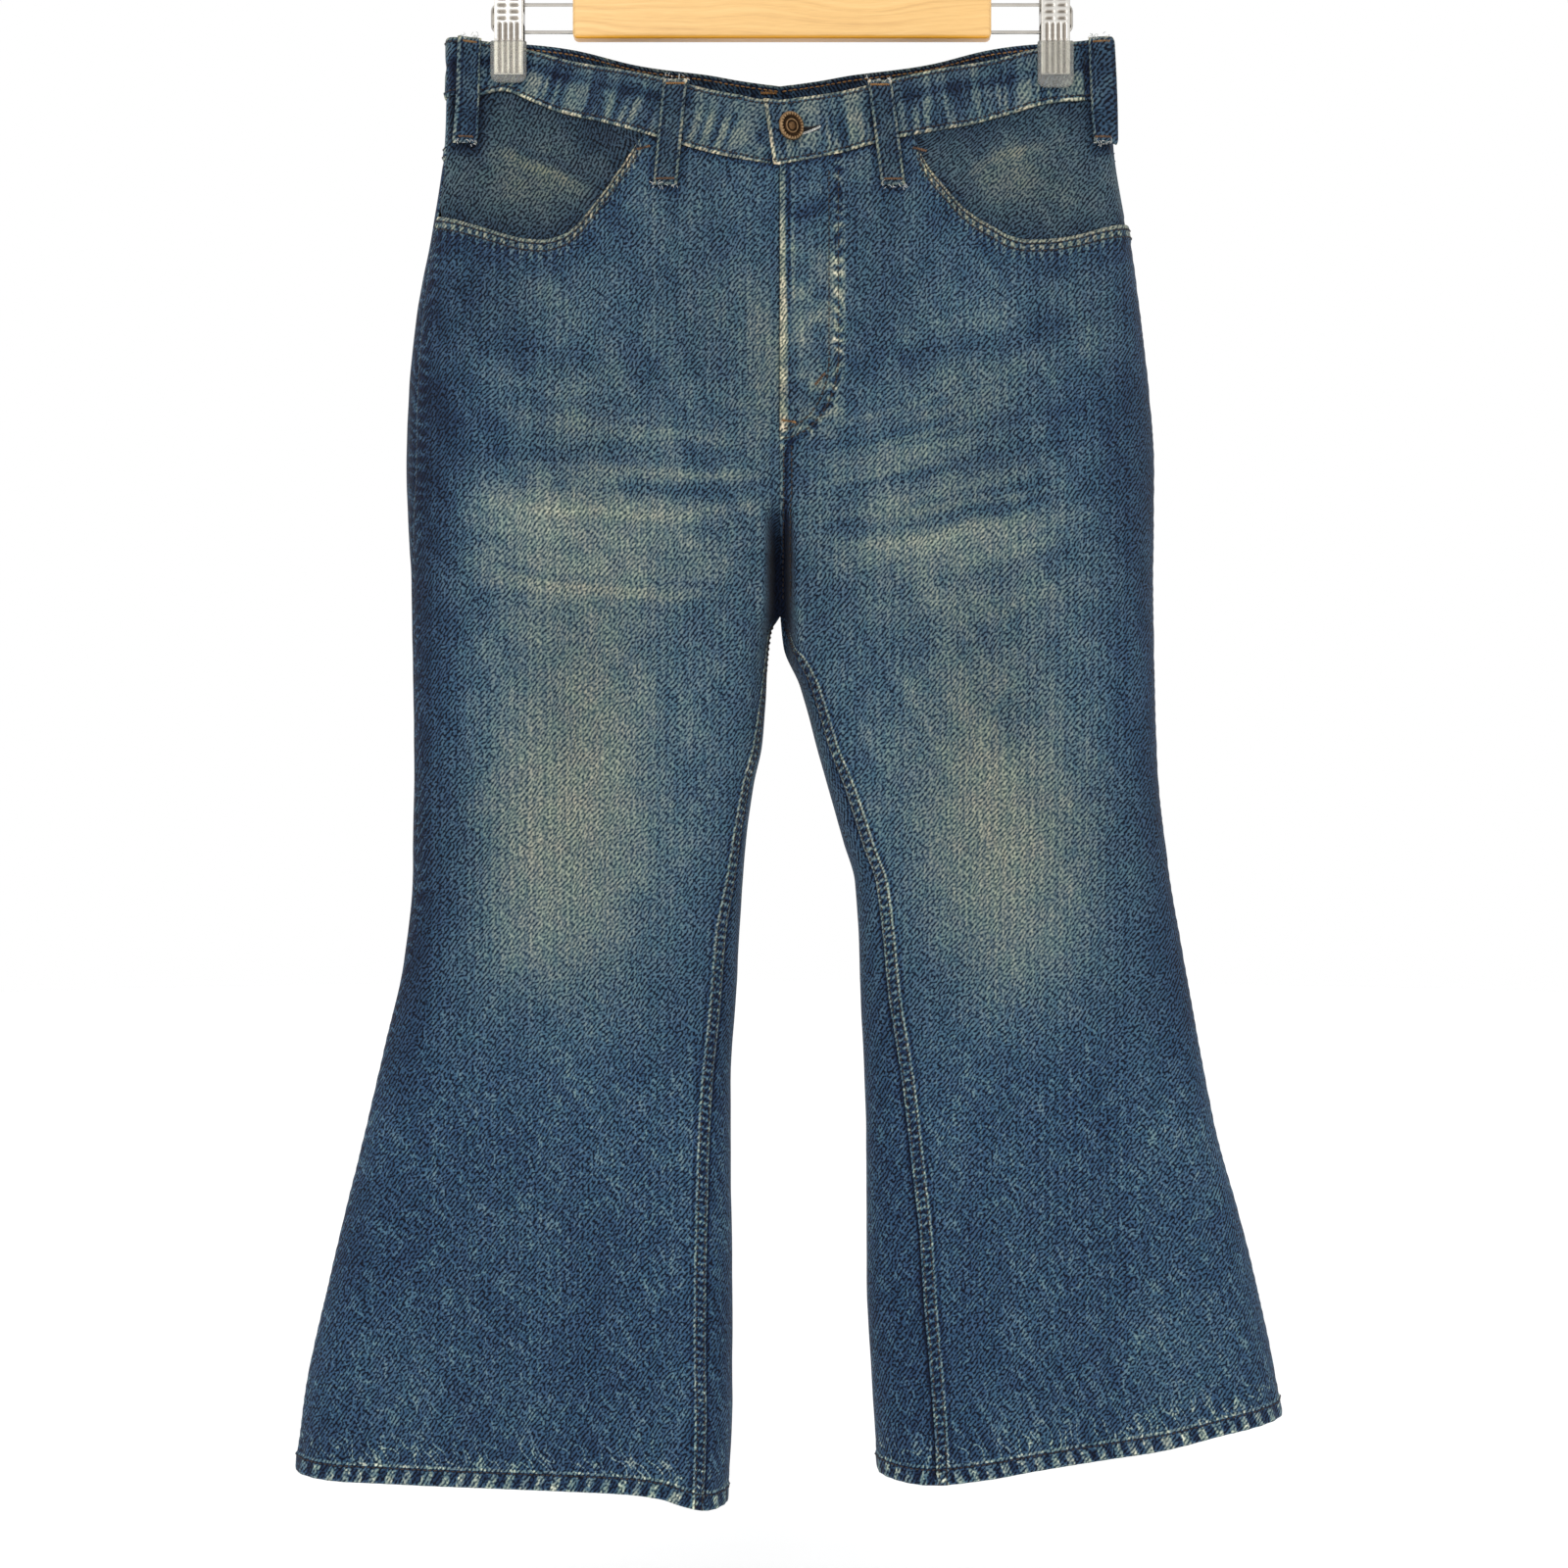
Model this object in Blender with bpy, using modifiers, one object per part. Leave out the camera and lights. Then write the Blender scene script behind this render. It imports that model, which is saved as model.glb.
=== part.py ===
"""Flared jeans hanging from a clip hanger.

Sizes are in mm and become metres where a mesh is made. +X is the viewer's right, -Y the front and +Z up.
The origin is where the hook rests on a rail. "Left" and "right" are the viewer's, facing the front.

The cloth is one surface for each half of the garment. A point on it has a drop, which is its height below
the top of the side seam, and a place around the half: 0 at the outer edge, 1 at the front's inner end,
-1 at the back's inner end, and past 1 or -1 on the far side of a leg's inner edge. Each piece is a wall
that follows this surface between its own seams.
"""

import math

import bmesh
import bpy
import numpy as np

MM = 0.001
LEFT, RIGHT = -1, 1
SIDES = {"left": LEFT, "right": RIGHT}

# ---------------------------------------------------------------- driving dimensions, in mm
WAIST_TOP = -110.5  # height of the top of the side seams under the rail
CROTCH = 352.0  # drop of the crotch
CLEFT = 65.0  # height over which the two legs part at the crotch
DENIM = 1.2  # one layer of cloth
SEAM_GAP = 0.3
BAND_OUT, BAND_IN = 0.7, 1.9  # the waistband's two layers, outside and inside the cloth's surface
HEM_DEPTH, HEM_OUT, HEM_IN = 11.0, 0.4, 2.6
LOOP_WIDTH, LOOP_LENGTH, LOOP_THICK = 14.4, 66.0, 2.2
LOOP_ABOVE, LOOP_STANDOFF = -0.8, 1.3  # from the waist's edge, and over the surface
CLIP_ACROSS = {LEFT: 165.0, RIGHT: 168.0}  # from the centre plane to the middle of each clip's pinch
CLIP_MIDDLE = {LEFT: 165.6, RIGHT: 168.0}
BELT_LOOPS = (
    ("belt_loop_front_left", LEFT, 63.0, 69.0),
    ("belt_loop_front_right", RIGHT, 60.0, 68.0),
    ("belt_loop_side_left", LEFT, 190.0, 191.5),
    ("belt_loop_side_right", RIGHT, 195.6, 198.6),
)
FACING_LAP = 22.0  # how far the pocket facing runs on under the front panel
FACING_DOWN, FACING_DEPTH = 1.0, 2.2  # its top edge under the waistband, and its face under the surface
UNDER = 0.4  # gap between layers that lie on each other
FLY_WIDTH, FLY_STRAIGHT, FLY_END = 36.0, 199.0, 248.0
FLY_LIFT = 1.5  # the fly's right edge stands this far over the left panel
FLY_PIECES_TOP, FLY_PIECES_END = 84.5, 225.0
BUTTON_ACROSS, BUTTON_DROP, BUTTON_TURN, BUTTON_CLEAR = 6.0, 60.5, 32.0, 5.4
SHARED_DROP = 160.0  # below this the front and back panels have the same rows
WIRE, ARM_WIRE = 4.0, 2.2  # diameters of the hook's and the arms' wire
HOOK_RADIUS, STEM_TOP = 21.0, -50.0
BAR_LOW_X, BAR_HIGH_X, BAR_THICK, BAR_TOP, BAR_BOTTOM = -126.6, 129.0, 14.0, -60.0, -110.0
ARM_UPPER, ARM_LOWER, ARM_CORNER = 22.2, 5.4, 4.0  # heights over WAIST_TOP, and the end's corner radius
ARM_END = {LEFT: 177.0, RIGHT: 179.3}  # just past each clip's outer edge
PLATE_WIDTH, PLATE_IN, PLATE_OUT = 17.6, 5.5, 6.7  # a clip's plates, from the hanger's middle plane
PLATE_TOP, PLATE_BOTTOM = 44.0, -22.0  # over WAIST_TOP
BRIDGE_LOW, BRIDGE_HIGH = 10.0, 17.0
PAD_WIDTH, PAD_IN, PAD_OUT, PAD_TOP = 22.0, 4.6, 8.3, -1.8
PAD_BOTTOM = {LEFT: -27.0, RIGHT: -30.0}
CLEARANCE = 0.3

# Rows of the outline from the front: drop, distance of the outer edge from the centre plane.
OUTER_EDGE = {
    LEFT: (
        (0, 204), (60, 205), (119, 213), (167, 222), (215, 227), (260, 228.5), (335, 225.5),
        (455, 224), (515, 225), (563, 230), (611, 240.5), (683, 257.5), (755, 275), (827, 290.5),
        (873, 296),
    ),
    RIGHT: (
        (0, 203), (60, 204.5), (119, 213.5), (167, 220), (215, 225.5), (260, 228.5), (335, 228),
        (395, 229), (455, 231.5), (503, 237), (551, 245), (599, 253), (671, 267.5), (743, 287),
        (791, 298), (839, 307),
    ),
}
# The same for each leg's inner edge, from the crotch down.
INNER_EDGE = {
    LEFT: (
        (352, 0), (362, 5.5), (407, 9), (431, 11), (455, 16), (503, 22), (575, 26.5), (640, 30),
        (755, 29.5), (830, 29), (893, 32),
    ),
    RIGHT: (
        (352, 0), (371, 2), (395, 12), (443, 25), (491, 39), (515, 46), (575, 49), (671, 52.5),
        (755, 53), (815, 56), (875, 60),
    ),
}
# Half depths to the front and back, the widths over which the edges round off, and the clips' pinch.
SECTION_COLUMNS = ("drop", "front", "back", "side_round", "inner_round", "pinch")
SECTIONS = (
    (0, 24, 26, 20, 13, 0.90),
    (38, 26, 28, 22, 13, 0.89),
    (75, 28, 32, 30, 13, 0.62),
    (110, 30, 36, 38, 13, 0.32),
    (160, 33, 41, 48, 13, 0.08),
    (215, 35, 45, 55, 13, 0.0),
    (287, 35, 45, 55, 13, 0.0),
    (352, 32, 38, 45, 14, 0.0),
    (450, 27, 31, 36, 22, 0.0),
    (560, 24, 27, 32, 26, 0.0),
    (700, 26, 28, 34, 28, 0.0),
    (895, 30, 30, 38, 32, 0.0),
)
PINCH_INSIDE, PINCH_OUTSIDE = 60.0, 36.0  # reach of the pinch towards the centre and the side

# Seams and edges as lines on the front or back: distance from the centre plane, drop.
FRONT_WAIST = ((0, 43), (35, 38), (66, 30.5), (98, 22.5), (125, 14.5), (158, 5), (180, 1), (204, 0))
BACK_WAIST = ((0, 21), (25, 17.5), (45, 14), (70, 11), (94, 8), (130, 4), (160, 1.5), (204, 0))
FRONT_BAND_SEAM = {
    LEFT: (
        (0, 82.5), (35, 76.5), (64, 68.7), (94, 59), (114, 51.5), (137, 43.8), (152, 37.5),
        (170, 31), (184, 34), (204, 36),
    ),
    RIGHT: (
        (0, 82.5), (35, 75.5), (57, 69.3), (98, 60), (114, 55.3), (129, 49.6), (144, 44.5),
        (160, 39.6), (175, 37.5), (190, 37), (204, 36),
    ),
}
BACK_BAND_SEAM = ((0, 61), (45, 54), (94, 48), (130, 44), (165, 40), (204, 36))
SCOOP = {
    LEFT: (
        (82.7, 64), (93.6, 79.7), (105, 96), (116, 109.4), (123, 117.8), (132, 124),
        (143.4, 126.6), (155, 125.7), (172, 121), (190, 115.3), (213, 109),
    ),
    RIGHT: (
        (81.5, 66), (87, 79.7), (98.6, 94.6), (109, 105.8), (118, 112.7), (129, 118.8),
        (138, 124), (150, 126.5), (163.5, 126), (179, 123.5), (194, 119), (213, 114),
    ),
}
YOKE_SEAM = ((0, 131), (110, 101), (213, 72))
HEM_LINE = {
    LEFT: ((31, 893), (41, 893.5), (56, 890), (71, 885), (92, 882), (157, 879), (230, 876), (296, 873)),
    RIGHT: ((58, 874), (92, 876.5), (123, 873.5), (154, 868), (197, 861), (229, 856), (273, 845), (307, 839)),
}
# Seams down the leg: drop, distance in from the outline's edge, on the front (or, negative, the back).
OUTSEAM = {
    LEFT: (
        (0, 1), (110, 3), (200, 7), (260, 8), (300, 4.5), (350, 2), (430, 2), (470, 4), (510, 4),
        (560, 1), (620, 0.3), (880, 0.3),
    ),
    RIGHT: ((0, -0.3), (880, -0.3)),
}
INSEAM = {
    LEFT: (
        (352, 0), (400, 1), (431, 2), (503, 4), (550, 8), (600, 9), (683, 13), (800, 15.5), (895, 14),
    ),
    RIGHT: (
        (352, 0), (372, 5), (431, 7), (460, 10), (495, 11), (530, 13), (581, 16), (627, 21),
        (683, 26.5), (738, 32), (843, 35), (880, 34),
    ),
}
# Soft folds: a ridge (+) or trough (-) from one point on the cloth to another.
FOLD_COLUMNS = ("side", "face", "x0", "drop0", "x1", "drop1", "half_width", "height")
FOLDS = (
    (LEFT, "front", 212, 236, 60, 246, 16, 1.8),
    (LEFT, "front", 205, 284, 70, 292, 18, 2.4),
    (LEFT, "front", 150, 338, 40, 345, 15, 1.8),
    (LEFT, "front", 190, 264, 50, 272, 12, -1.4),
    (LEFT, "front", 165, 50, 150, 110, 12, -2.2),
    (LEFT, "front", 120, 480, 125, 780, 40, 2.4),
    (LEFT, "front", 230, 700, 250, 895, 30, -2.2),
    (LEFT, "front", 75, 640, 70, 895, 26, -2.0),
    (RIGHT, "front", 212, 222, 60, 236, 16, 1.8),
    (RIGHT, "front", 210, 268, 60, 284, 16, 2.2),
    (RIGHT, "front", 200, 312, 50, 322, 17, 1.8),
    (RIGHT, "front", 150, 292, 60, 300, 12, -1.4),
    (RIGHT, "front", 168, 50, 150, 110, 12, -2.2),
    (RIGHT, "front", 128, 420, 140, 760, 40, 2.4),
    (RIGHT, "front", 110, 600, 122, 880, 24, -2.2),
    (RIGHT, "front", 225, 680, 262, 870, 30, 2.0),
    (LEFT, "back", 20, 300, 175, 318, 16, -2.4),
    (LEFT, "back", 15, 330, 150, 372, 18, -3.0),
    (LEFT, "back", 60, 470, 190, 486, 16, -2.4),
    (LEFT, "back", 70, 512, 200, 520, 15, -2.2),
    (LEFT, "back", 150, 620, 175, 890, 32, 2.4),
    (RIGHT, "back", 20, 306, 170, 330, 16, -2.4),
    (RIGHT, "back", 15, 336, 140, 380, 18, -3.0),
    (RIGHT, "back", 70, 478, 200, 470, 16, -2.4),
    (RIGHT, "back", 80, 516, 205, 522, 15, -2.2),
    (RIGHT, "back", 150, 610, 190, 880, 32, 2.4),
)

OUTER_SHARE, INNER_SHARE = 0.28, 0.24  # parts of a half's columns that bend round its edges


# ---------------------------------------------------------------- the cloth's surface
def smooth(rows):
    """A curve through the (position, value) rows that doesn't overshoot them, held level past its ends."""
    position, value = np.array(rows, float).T
    step = np.diff(position)
    slope = np.diff(value) / step
    rate = np.zeros_like(value)
    turning = slope[:-1] * slope[1:] <= 0
    before = np.where(turning, 1.0, slope[:-1])
    after = np.where(turning, 1.0, slope[1:])
    near, far = 2 * step[1:] + step[:-1], step[1:] + 2 * step[:-1]
    rate[1:-1] = np.where(turning, 0.0, (near + far) / (near / before + far / after))
    rate[0], rate[-1] = slope[0], slope[-1]

    def curve(at):
        at = np.clip(np.asarray(at, float), position[0], position[-1])
        row = np.clip(np.searchsorted(position, at) - 1, 0, len(step) - 1)
        t = (at - position[row]) / step[row]
        return (
            value[row] * (1 + 2 * t) * (1 - t) ** 2
            + rate[row] * step[row] * t * (1 - t) ** 2
            + value[row + 1] * t * t * (3 - 2 * t)
            + rate[row + 1] * step[row] * t * t * (t - 1)
        )

    return curve


def smooth_sides(table):
    return {side: smooth(rows) for side, rows in table.items()}


def eased(share):
    share = np.clip(share, 0, 1)
    return share * share * (3 - 2 * share)


OUTER, INNER_LEG = smooth_sides(OUTER_EDGE), smooth_sides(INNER_EDGE)
SECTION = {
    name: smooth([(row[0], row[column]) for row in SECTIONS])
    for column, name in enumerate(SECTION_COLUMNS)
    if column
}


def inner_edge(side, drop):
    """Where the section's inner edge is, past the centre plane above the crotch, where the halves are one."""
    parting = -np.clip((CROTCH - drop) / CLEFT, 0, 1) * SECTION["inner_round"](drop)
    return np.where(drop < CROTCH, parting, INNER_LEG[side](drop) + SEAM_GAP / 2)


def round_edge(share):
    """A quarter round: 0 at the edge, 1 where the flat begins."""
    share = np.clip(share, 0, 1)
    return np.sqrt(share * (2 - share))


def folded(around):
    """The place as 0 to 1 from the outer to the inner end, and whether it is on the front."""
    wrapped = np.abs(around) > 1
    return np.where(wrapped, 2 - np.abs(around), np.abs(around)), (around >= 0) != wrapped


def across_at(side, around, drop):
    """Distance from the centre plane of a place around the half."""
    place, _ = folded(around)
    outer, inner_round = OUTER[side](drop), SECTION["inner_round"](drop)
    side_round = SECTION["side_round"](drop)
    end = np.maximum(inner_edge(side, drop), SEAM_GAP / 2)
    flat = outer - side_round
    edge = outer - side_round * (1 - np.cos(np.minimum(place / OUTER_SHARE, 1) * math.pi / 2))
    share = np.clip((place - OUTER_SHARE) / (1 - OUTER_SHARE), 0, 1)
    hip = flat + (end - flat) * share
    turn = 1 - INNER_SHARE / (1 - OUTER_SHARE)
    leg = np.where(
        share < turn,
        flat + (end + inner_round - flat) * share / turn,
        end + inner_round * (1 - np.cos(np.clip((1 - share) / (1 - turn), 0, 1) * math.pi / 2)),
    )
    parted = eased((drop - (CROTCH - 100)) / 100)
    return np.where(place < OUTER_SHARE, edge, hip + (leg - hip) * parted)


def around_at(side, face, across, drop):
    """The place around the half of a point on the front or back."""
    across, drop = np.broadcast_arrays(np.asarray(across, float), np.asarray(drop, float))
    low, high = np.zeros(across.shape), np.ones(across.shape)
    for _ in range(30):
        middle = (low + high) / 2
        outside = across_at(side, middle, drop) > across
        low, high = np.where(outside, middle, low), np.where(outside, high, middle)
    return low if face == "front" else -low


def fold_height(side, face, across, drop):
    height = np.zeros(np.broadcast(across, drop).shape)
    for row in FOLDS:
        fold = dict(zip(FOLD_COLUMNS, row))
        if (fold["side"], fold["face"]) != (side, face):
            continue
        run = np.array([fold["x1"] - fold["x0"], fold["drop1"] - fold["drop0"]], float)
        length = math.hypot(*run)
        along = ((across - fold["x0"]) * run[0] + (drop - fold["drop0"]) * run[1]) / length**2
        beside = ((across - fold["x0"]) * run[1] - (drop - fold["drop0"]) * run[0]) / length
        ends = np.sin(np.clip(along, 0, 1) * math.pi)
        height = height + fold["height"] * ends * np.exp(-((beside / fold["half_width"]) ** 2))
    return height


def cloth_point(side, around, drop):
    """Points of the cloth's surface, as x, y, z."""
    _, front = folded(around)
    across = across_at(side, around, drop)
    outer_share = (OUTER[side](drop) - across) / SECTION["side_round"](drop)
    inner_share = (across - inner_edge(side, drop)) / SECTION["inner_round"](drop)
    rounding = round_edge(outer_share) * round_edge(inner_share)
    from_clip = across - CLIP_ACROSS[side]
    reach = np.where(from_clip < 0, PINCH_INSIDE, PINCH_OUTSIDE)
    pinched = 1 - SECTION["pinch"](drop) * np.exp(-(from_clip / reach) ** 4)
    front_y = -SECTION["front"](drop) * pinched - fold_height(side, "front", across, drop)
    back_y = SECTION["back"](drop) * pinched + fold_height(side, "back", across, drop)
    y = np.where(front, front_y, back_y) * rounding
    return np.stack(np.broadcast_arrays(side * across, y, WAIST_TOP - drop), -1)


def cloth_normal(side, around, drop):
    """Unit normals of the surface, facing out."""
    place_step, drop_step = 1e-3, 0.2
    last = np.where(drop < CROTCH, 1.0, 2.0)
    ahead = np.minimum(around + place_step, last)
    behind = np.maximum(around - place_step, -last)
    along = cloth_point(side, ahead, drop) - cloth_point(side, behind, drop)
    down = cloth_point(side, around, drop + drop_step) - cloth_point(side, around, drop - drop_step)
    normal = side * np.cross(along, down)
    return normal / np.linalg.norm(normal, axis=-1, keepdims=True)


def walk(side, around, drop, distance):
    """The place that is this far along the surface, at the same drop."""
    steps, place_step = 6, 1e-3
    for _ in range(steps):
        ahead = cloth_point(side, around + place_step, drop) - cloth_point(side, around - place_step, drop)
        around = around + distance / steps * 2 * place_step / np.linalg.norm(ahead, axis=-1)
    return around


# ---------------------------------------------------------------- seams and edges
FRONT_WAIST_LINE, BACK_WAIST_LINE = smooth(FRONT_WAIST), smooth(BACK_WAIST)
FRONT_BAND_LINE, BACK_BAND_LINE = smooth_sides(FRONT_BAND_SEAM), smooth(BACK_BAND_SEAM)
SCOOP_LINE, YOKE_LINE, HEM = smooth_sides(SCOOP), smooth(YOKE_SEAM), smooth_sides(HEM_LINE)
OUTSEAM_INSET, INSEAM_INSET = smooth_sides(OUTSEAM), smooth_sides(INSEAM)
SEAM_DROPS = np.arange(0.0, 901.0, 2.0)


def seam_places(side):
    """The outseam's and the inseam's places around the half at each of SEAM_DROPS."""
    inset = OUTSEAM_INSET[side](SEAM_DROPS)
    outseam = around_at(side, "front", OUTER[side](SEAM_DROPS) - np.abs(inset), SEAM_DROPS)
    inner = inner_edge(side, SEAM_DROPS) + INSEAM_INSET[side](SEAM_DROPS)
    inseam = around_at(side, "front", inner, SEAM_DROPS)
    return np.sign(inset) * outseam, np.where(SEAM_DROPS <= CROTCH, 1.0, inseam)


SEAM_PLACES = {side: seam_places(side) for side in (LEFT, RIGHT)}


def outseam(side, drop):
    return np.interp(drop, SEAM_DROPS, SEAM_PLACES[side][0])


def inseam(side, drop):
    """The front panel's inner edge: the centre seam, and below the crotch the inseam."""
    return np.interp(drop, SEAM_DROPS, SEAM_PLACES[side][1])


def waist_line(side, face, across):
    return (FRONT_WAIST_LINE if face == "front" else BACK_WAIST_LINE)(across)


def band_seam(side, face, across):
    return (FRONT_BAND_LINE[side] if face == "front" else BACK_BAND_LINE)(across)


def scoop_line(side, across):
    """The front panel's top edge: the band seam, then the pocket's scoop."""
    seam = band_seam(side, "front", across) + SEAM_GAP
    return np.where(across < SCOOP[side][0][0], seam, np.maximum(seam, SCOOP_LINE[side](across)))


def fly_lift(side, across, drop):
    """How far the fly's layers raise the right front panel: straight, then curving in to the centre."""
    curve = np.clip((drop - FLY_STRAIGHT) / (FLY_END - FLY_STRAIGHT), 0, 1)
    edge = FLY_WIDTH * np.sqrt(1 - curve**2)
    inside = eased((edge + 3 - across) / 8) * eased((FLY_END - drop) / 14)
    return FLY_LIFT * inside if side == RIGHT else 0.0 * across


# ---------------------------------------------------------------- walls of cloth
# A patch is a side with the places and drops of its points, a row of the arrays for each column of cloth.
def patch_between(side, start, end, columns, spans):
    """Columns at shares of the way from the start to the end seam, down spans of (top, bottom, shares)."""
    column = np.asarray(columns)[:, None]
    places, drops = [], []
    for top, bottom, shares in spans:
        drop = np.full((len(column), len(shares)), 400.0)
        for _ in range(8):
            place = start(drop) + (end(drop) - start(drop)) * column
            across = across_at(side, place, drop)
            drop = top(across) + (bottom(across) - top(across)) * shares
        places.append(start(drop) + (end(drop) - start(drop)) * column)
        drops.append(drop)
    return side, np.hstack(places), np.hstack(drops)


def patch_across(side, face, across, top, bottom, shares):
    """Columns at given distances from the centre plane."""
    across = np.asarray(across, float)
    across = across if across.ndim == 2 else across[:, None] + 0 * shares
    drop = top(across) + (bottom(across) - top(across)) * shares
    return side, around_at(side, face, across, drop), drop


def lifted(patch, offset):
    """A patch's points moved out along the surface's normals."""
    side, around, drop = patch
    amount = offset(side, across_at(side, around, drop), drop) if callable(offset) else offset
    amount = np.broadcast_to(np.asarray(amount, float), drop.shape)
    return cloth_point(side, around, drop) + cloth_normal(side, around, drop) * amount[..., None]


def trimmed(grid):
    """The grid with its first and last columns drawn in by half a seam gap."""
    grid = grid.copy()
    for edge, neighbour in ((0, 1), (-1, -2)):
        inward = grid[neighbour] - grid[edge]
        grid[edge] += inward / np.linalg.norm(inward, axis=-1, keepdims=True) * SEAM_GAP / 2
    return grid


def wall(name, patches, outer, inner, material):
    """A closed wall between two offsets from the surface, over patches that follow on from each other."""
    offsets = [skin if isinstance(skin, list) else [skin] * len(patches) for skin in (outer, inner)]
    skins = [
        trimmed(np.concatenate([lifted(patch, amount) for patch, amount in zip(patches, amounts)]))
        for amounts in offsets
    ]
    mesh = bmesh.new()
    corners = [[[mesh.verts.new(point * MM) for point in column] for column in skin] for skin in skins]
    outside, inside = corners
    across, down = len(outside), len(outside[0])
    for i in range(across - 1):
        for j in range(down - 1):
            for skin in corners:
                mesh.faces.new((skin[i][j], skin[i + 1][j], skin[i + 1][j + 1], skin[i][j + 1]))
    rim = [(i, 0) for i in range(across)] + [(across - 1, j) for j in range(1, down)]
    rim += [(i, down - 1) for i in range(across - 2, -1, -1)] + [(0, j) for j in range(down - 2, 0, -1)]
    for (i, j), (k, m) in zip(rim, rim[1:] + rim[:1]):
        mesh.faces.new((outside[i][j], outside[k][m], inside[k][m], inside[i][j]))
    bmesh.ops.recalc_face_normals(mesh, faces=mesh.faces)
    return add_mesh(name, mesh, material)


def level(drop):
    return lambda across: np.full(np.shape(across), float(drop))


def in_hem(side, across, drop):
    return eased((drop - HEM[side](across) + HEM_DEPTH) / 0.5)


def panel_outside(side, across, drop):
    return HEM_OUT * in_hem(side, across, drop) + 0.0


def front_outside(side, across, drop):
    return panel_outside(side, across, drop) + fly_lift(side, across, drop)


def panel_inside(side, across, drop):
    return -DENIM - (HEM_IN - DENIM) * in_hem(side, across, drop)


def front_inside(side, across, drop):
    return panel_inside(side, across, drop) + fly_lift(side, across, drop)


FRONT_COLUMNS = np.append(np.linspace(0, 0.829, 12), (0.864, 0.932, 1.0))  # the last three hold the fly
BACK_COLUMNS = np.linspace(0, 1, 15)
HIP_SHARES = np.linspace(0, 1, 9)
LEG_SHARES = np.concatenate(([0.012, 0.03], np.linspace(0.07, 1, 14)))
HEM_SHARES = np.array([0.08, 1.0])


def lower_spans(side):
    """The rows that the front and back panels share: hip, leg, and the turned-up hem."""
    def hem_top(across):
        return HEM[side](across) - HEM_DEPTH

    return [
        (level(SHARED_DROP), level(CROTCH), HIP_SHARES),
        (level(CROTCH), hem_top, LEG_SHARES),
        (hem_top, HEM[side], HEM_SHARES),
    ]


def make_front_panel(word, side):
    def top(across):
        return scoop_line(side, across)

    spans = [(top, lambda across: top(across) + FACING_LAP, np.linspace(0, 1, 4))]
    patch = patch_between(
        side,
        lambda drop: outseam(side, drop),
        lambda drop: inseam(side, drop),
        FRONT_COLUMNS,
        spans + lower_spans(side),
    )
    wall(f"front_panel_{word}", [patch], front_outside, front_inside, DENIM_BLUE)


def make_back_panel(word, side):
    """From the outseam round the back, and below the crotch on round the inner edge to the inseam."""
    spans = [(lambda across: YOKE_LINE(across) + SEAM_GAP / 2, level(SHARED_DROP), np.linspace(0, 1, 4)[:3])]
    patch = patch_between(
        side,
        lambda drop: outseam(side, drop),
        lambda drop: inseam(side, drop) - 2,
        BACK_COLUMNS,
        spans + lower_spans(side),
    )
    wall(f"back_panel_{word}", [patch], panel_outside, panel_inside, DENIM_BLUE)


def make_yoke(word, side):
    span = (
        lambda across: band_seam(side, "back", across) + SEAM_GAP,
        lambda across: YOKE_LINE(across) - SEAM_GAP / 2,
        np.linspace(0, 1, 4),
    )
    patch = patch_between(
        side, lambda drop: outseam(side, drop), lambda drop: -1.0 + 0 * drop, BACK_COLUMNS, [span]
    )
    wall(f"yoke_{word}", [patch], 0, -DENIM, DENIM_BLUE)


def make_pocket_facing(word, side):
    """The denim behind the scoop, on the front panel's own columns so that the layers stay parallel."""
    span = (
        lambda across: band_seam(side, "front", across) + FACING_DOWN,
        lambda across: scoop_line(side, across) + FACING_LAP,
        np.linspace(0, 1, 10),
    )
    patch = patch_between(
        side, lambda drop: outseam(side, drop), lambda drop: inseam(side, drop), FRONT_COLUMNS, [span]
    )
    side, around, drop = patch
    kept = across_at(side, around, drop).min(axis=1) > SCOOP[side][0][0] - 14
    patch = (side, around[kept], drop[kept])
    wall(f"pocket_facing_{word}", [patch], -FACING_DEPTH, -FACING_DEPTH - DENIM, DENIM_DARK)


def make_back_pocket(word, side):
    """A patch pocket whose lower edge comes to a shallow point."""
    inner, outer, taper, top, bottom, point = 42.0, 178.0, 8.0, 126.0, 268.0, 22.0
    below = 0.8
    shares = np.linspace(0, 1, 7)
    place = np.linspace(-1, 1, 9)[:, None]
    across = (inner + outer) / 2 + place * ((outer - inner) / 2 - taper * shares)
    upper = top - 4 * place
    lower = bottom + point * (1 - np.abs(place))
    patch = patch_across(side, "back", across, lambda x: upper + 0 * x, lambda x: lower + 0 * x, shares)
    wall(f"back_pocket_{word}", [patch], below + DENIM, below, DENIM_BLUE)


# ---------------------------------------------------------------- waistband, belt loops and fly
LOOP_SHARES = np.array([0, 0.02, 0.2, 0.47, 0.7, 0.92, 1])
FLY_ROWS = np.linspace(0, 1, 7)
BAND_EDGE_ABOVE, BAND_EDGE_BELOW = 10.0, 4.0  # the right end laps this far past the centre plane
UNDERLAP_START, UNDERLAP_END = 24.0, 28.0
UNDERLAP_SINK = BAND_OUT + BAND_IN + UNDER
BAND_ROWS = np.array([0, 0.04, 0.5, 0.96, 1.0])


def band_patch(side, face, across):
    """Columns of the waistband at distances from the centre plane."""
    return patch_across(
        side, face, across, lambda x: waist_line(side, face, x), lambda x: band_seam(side, face, x), BAND_ROWS
    )


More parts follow.
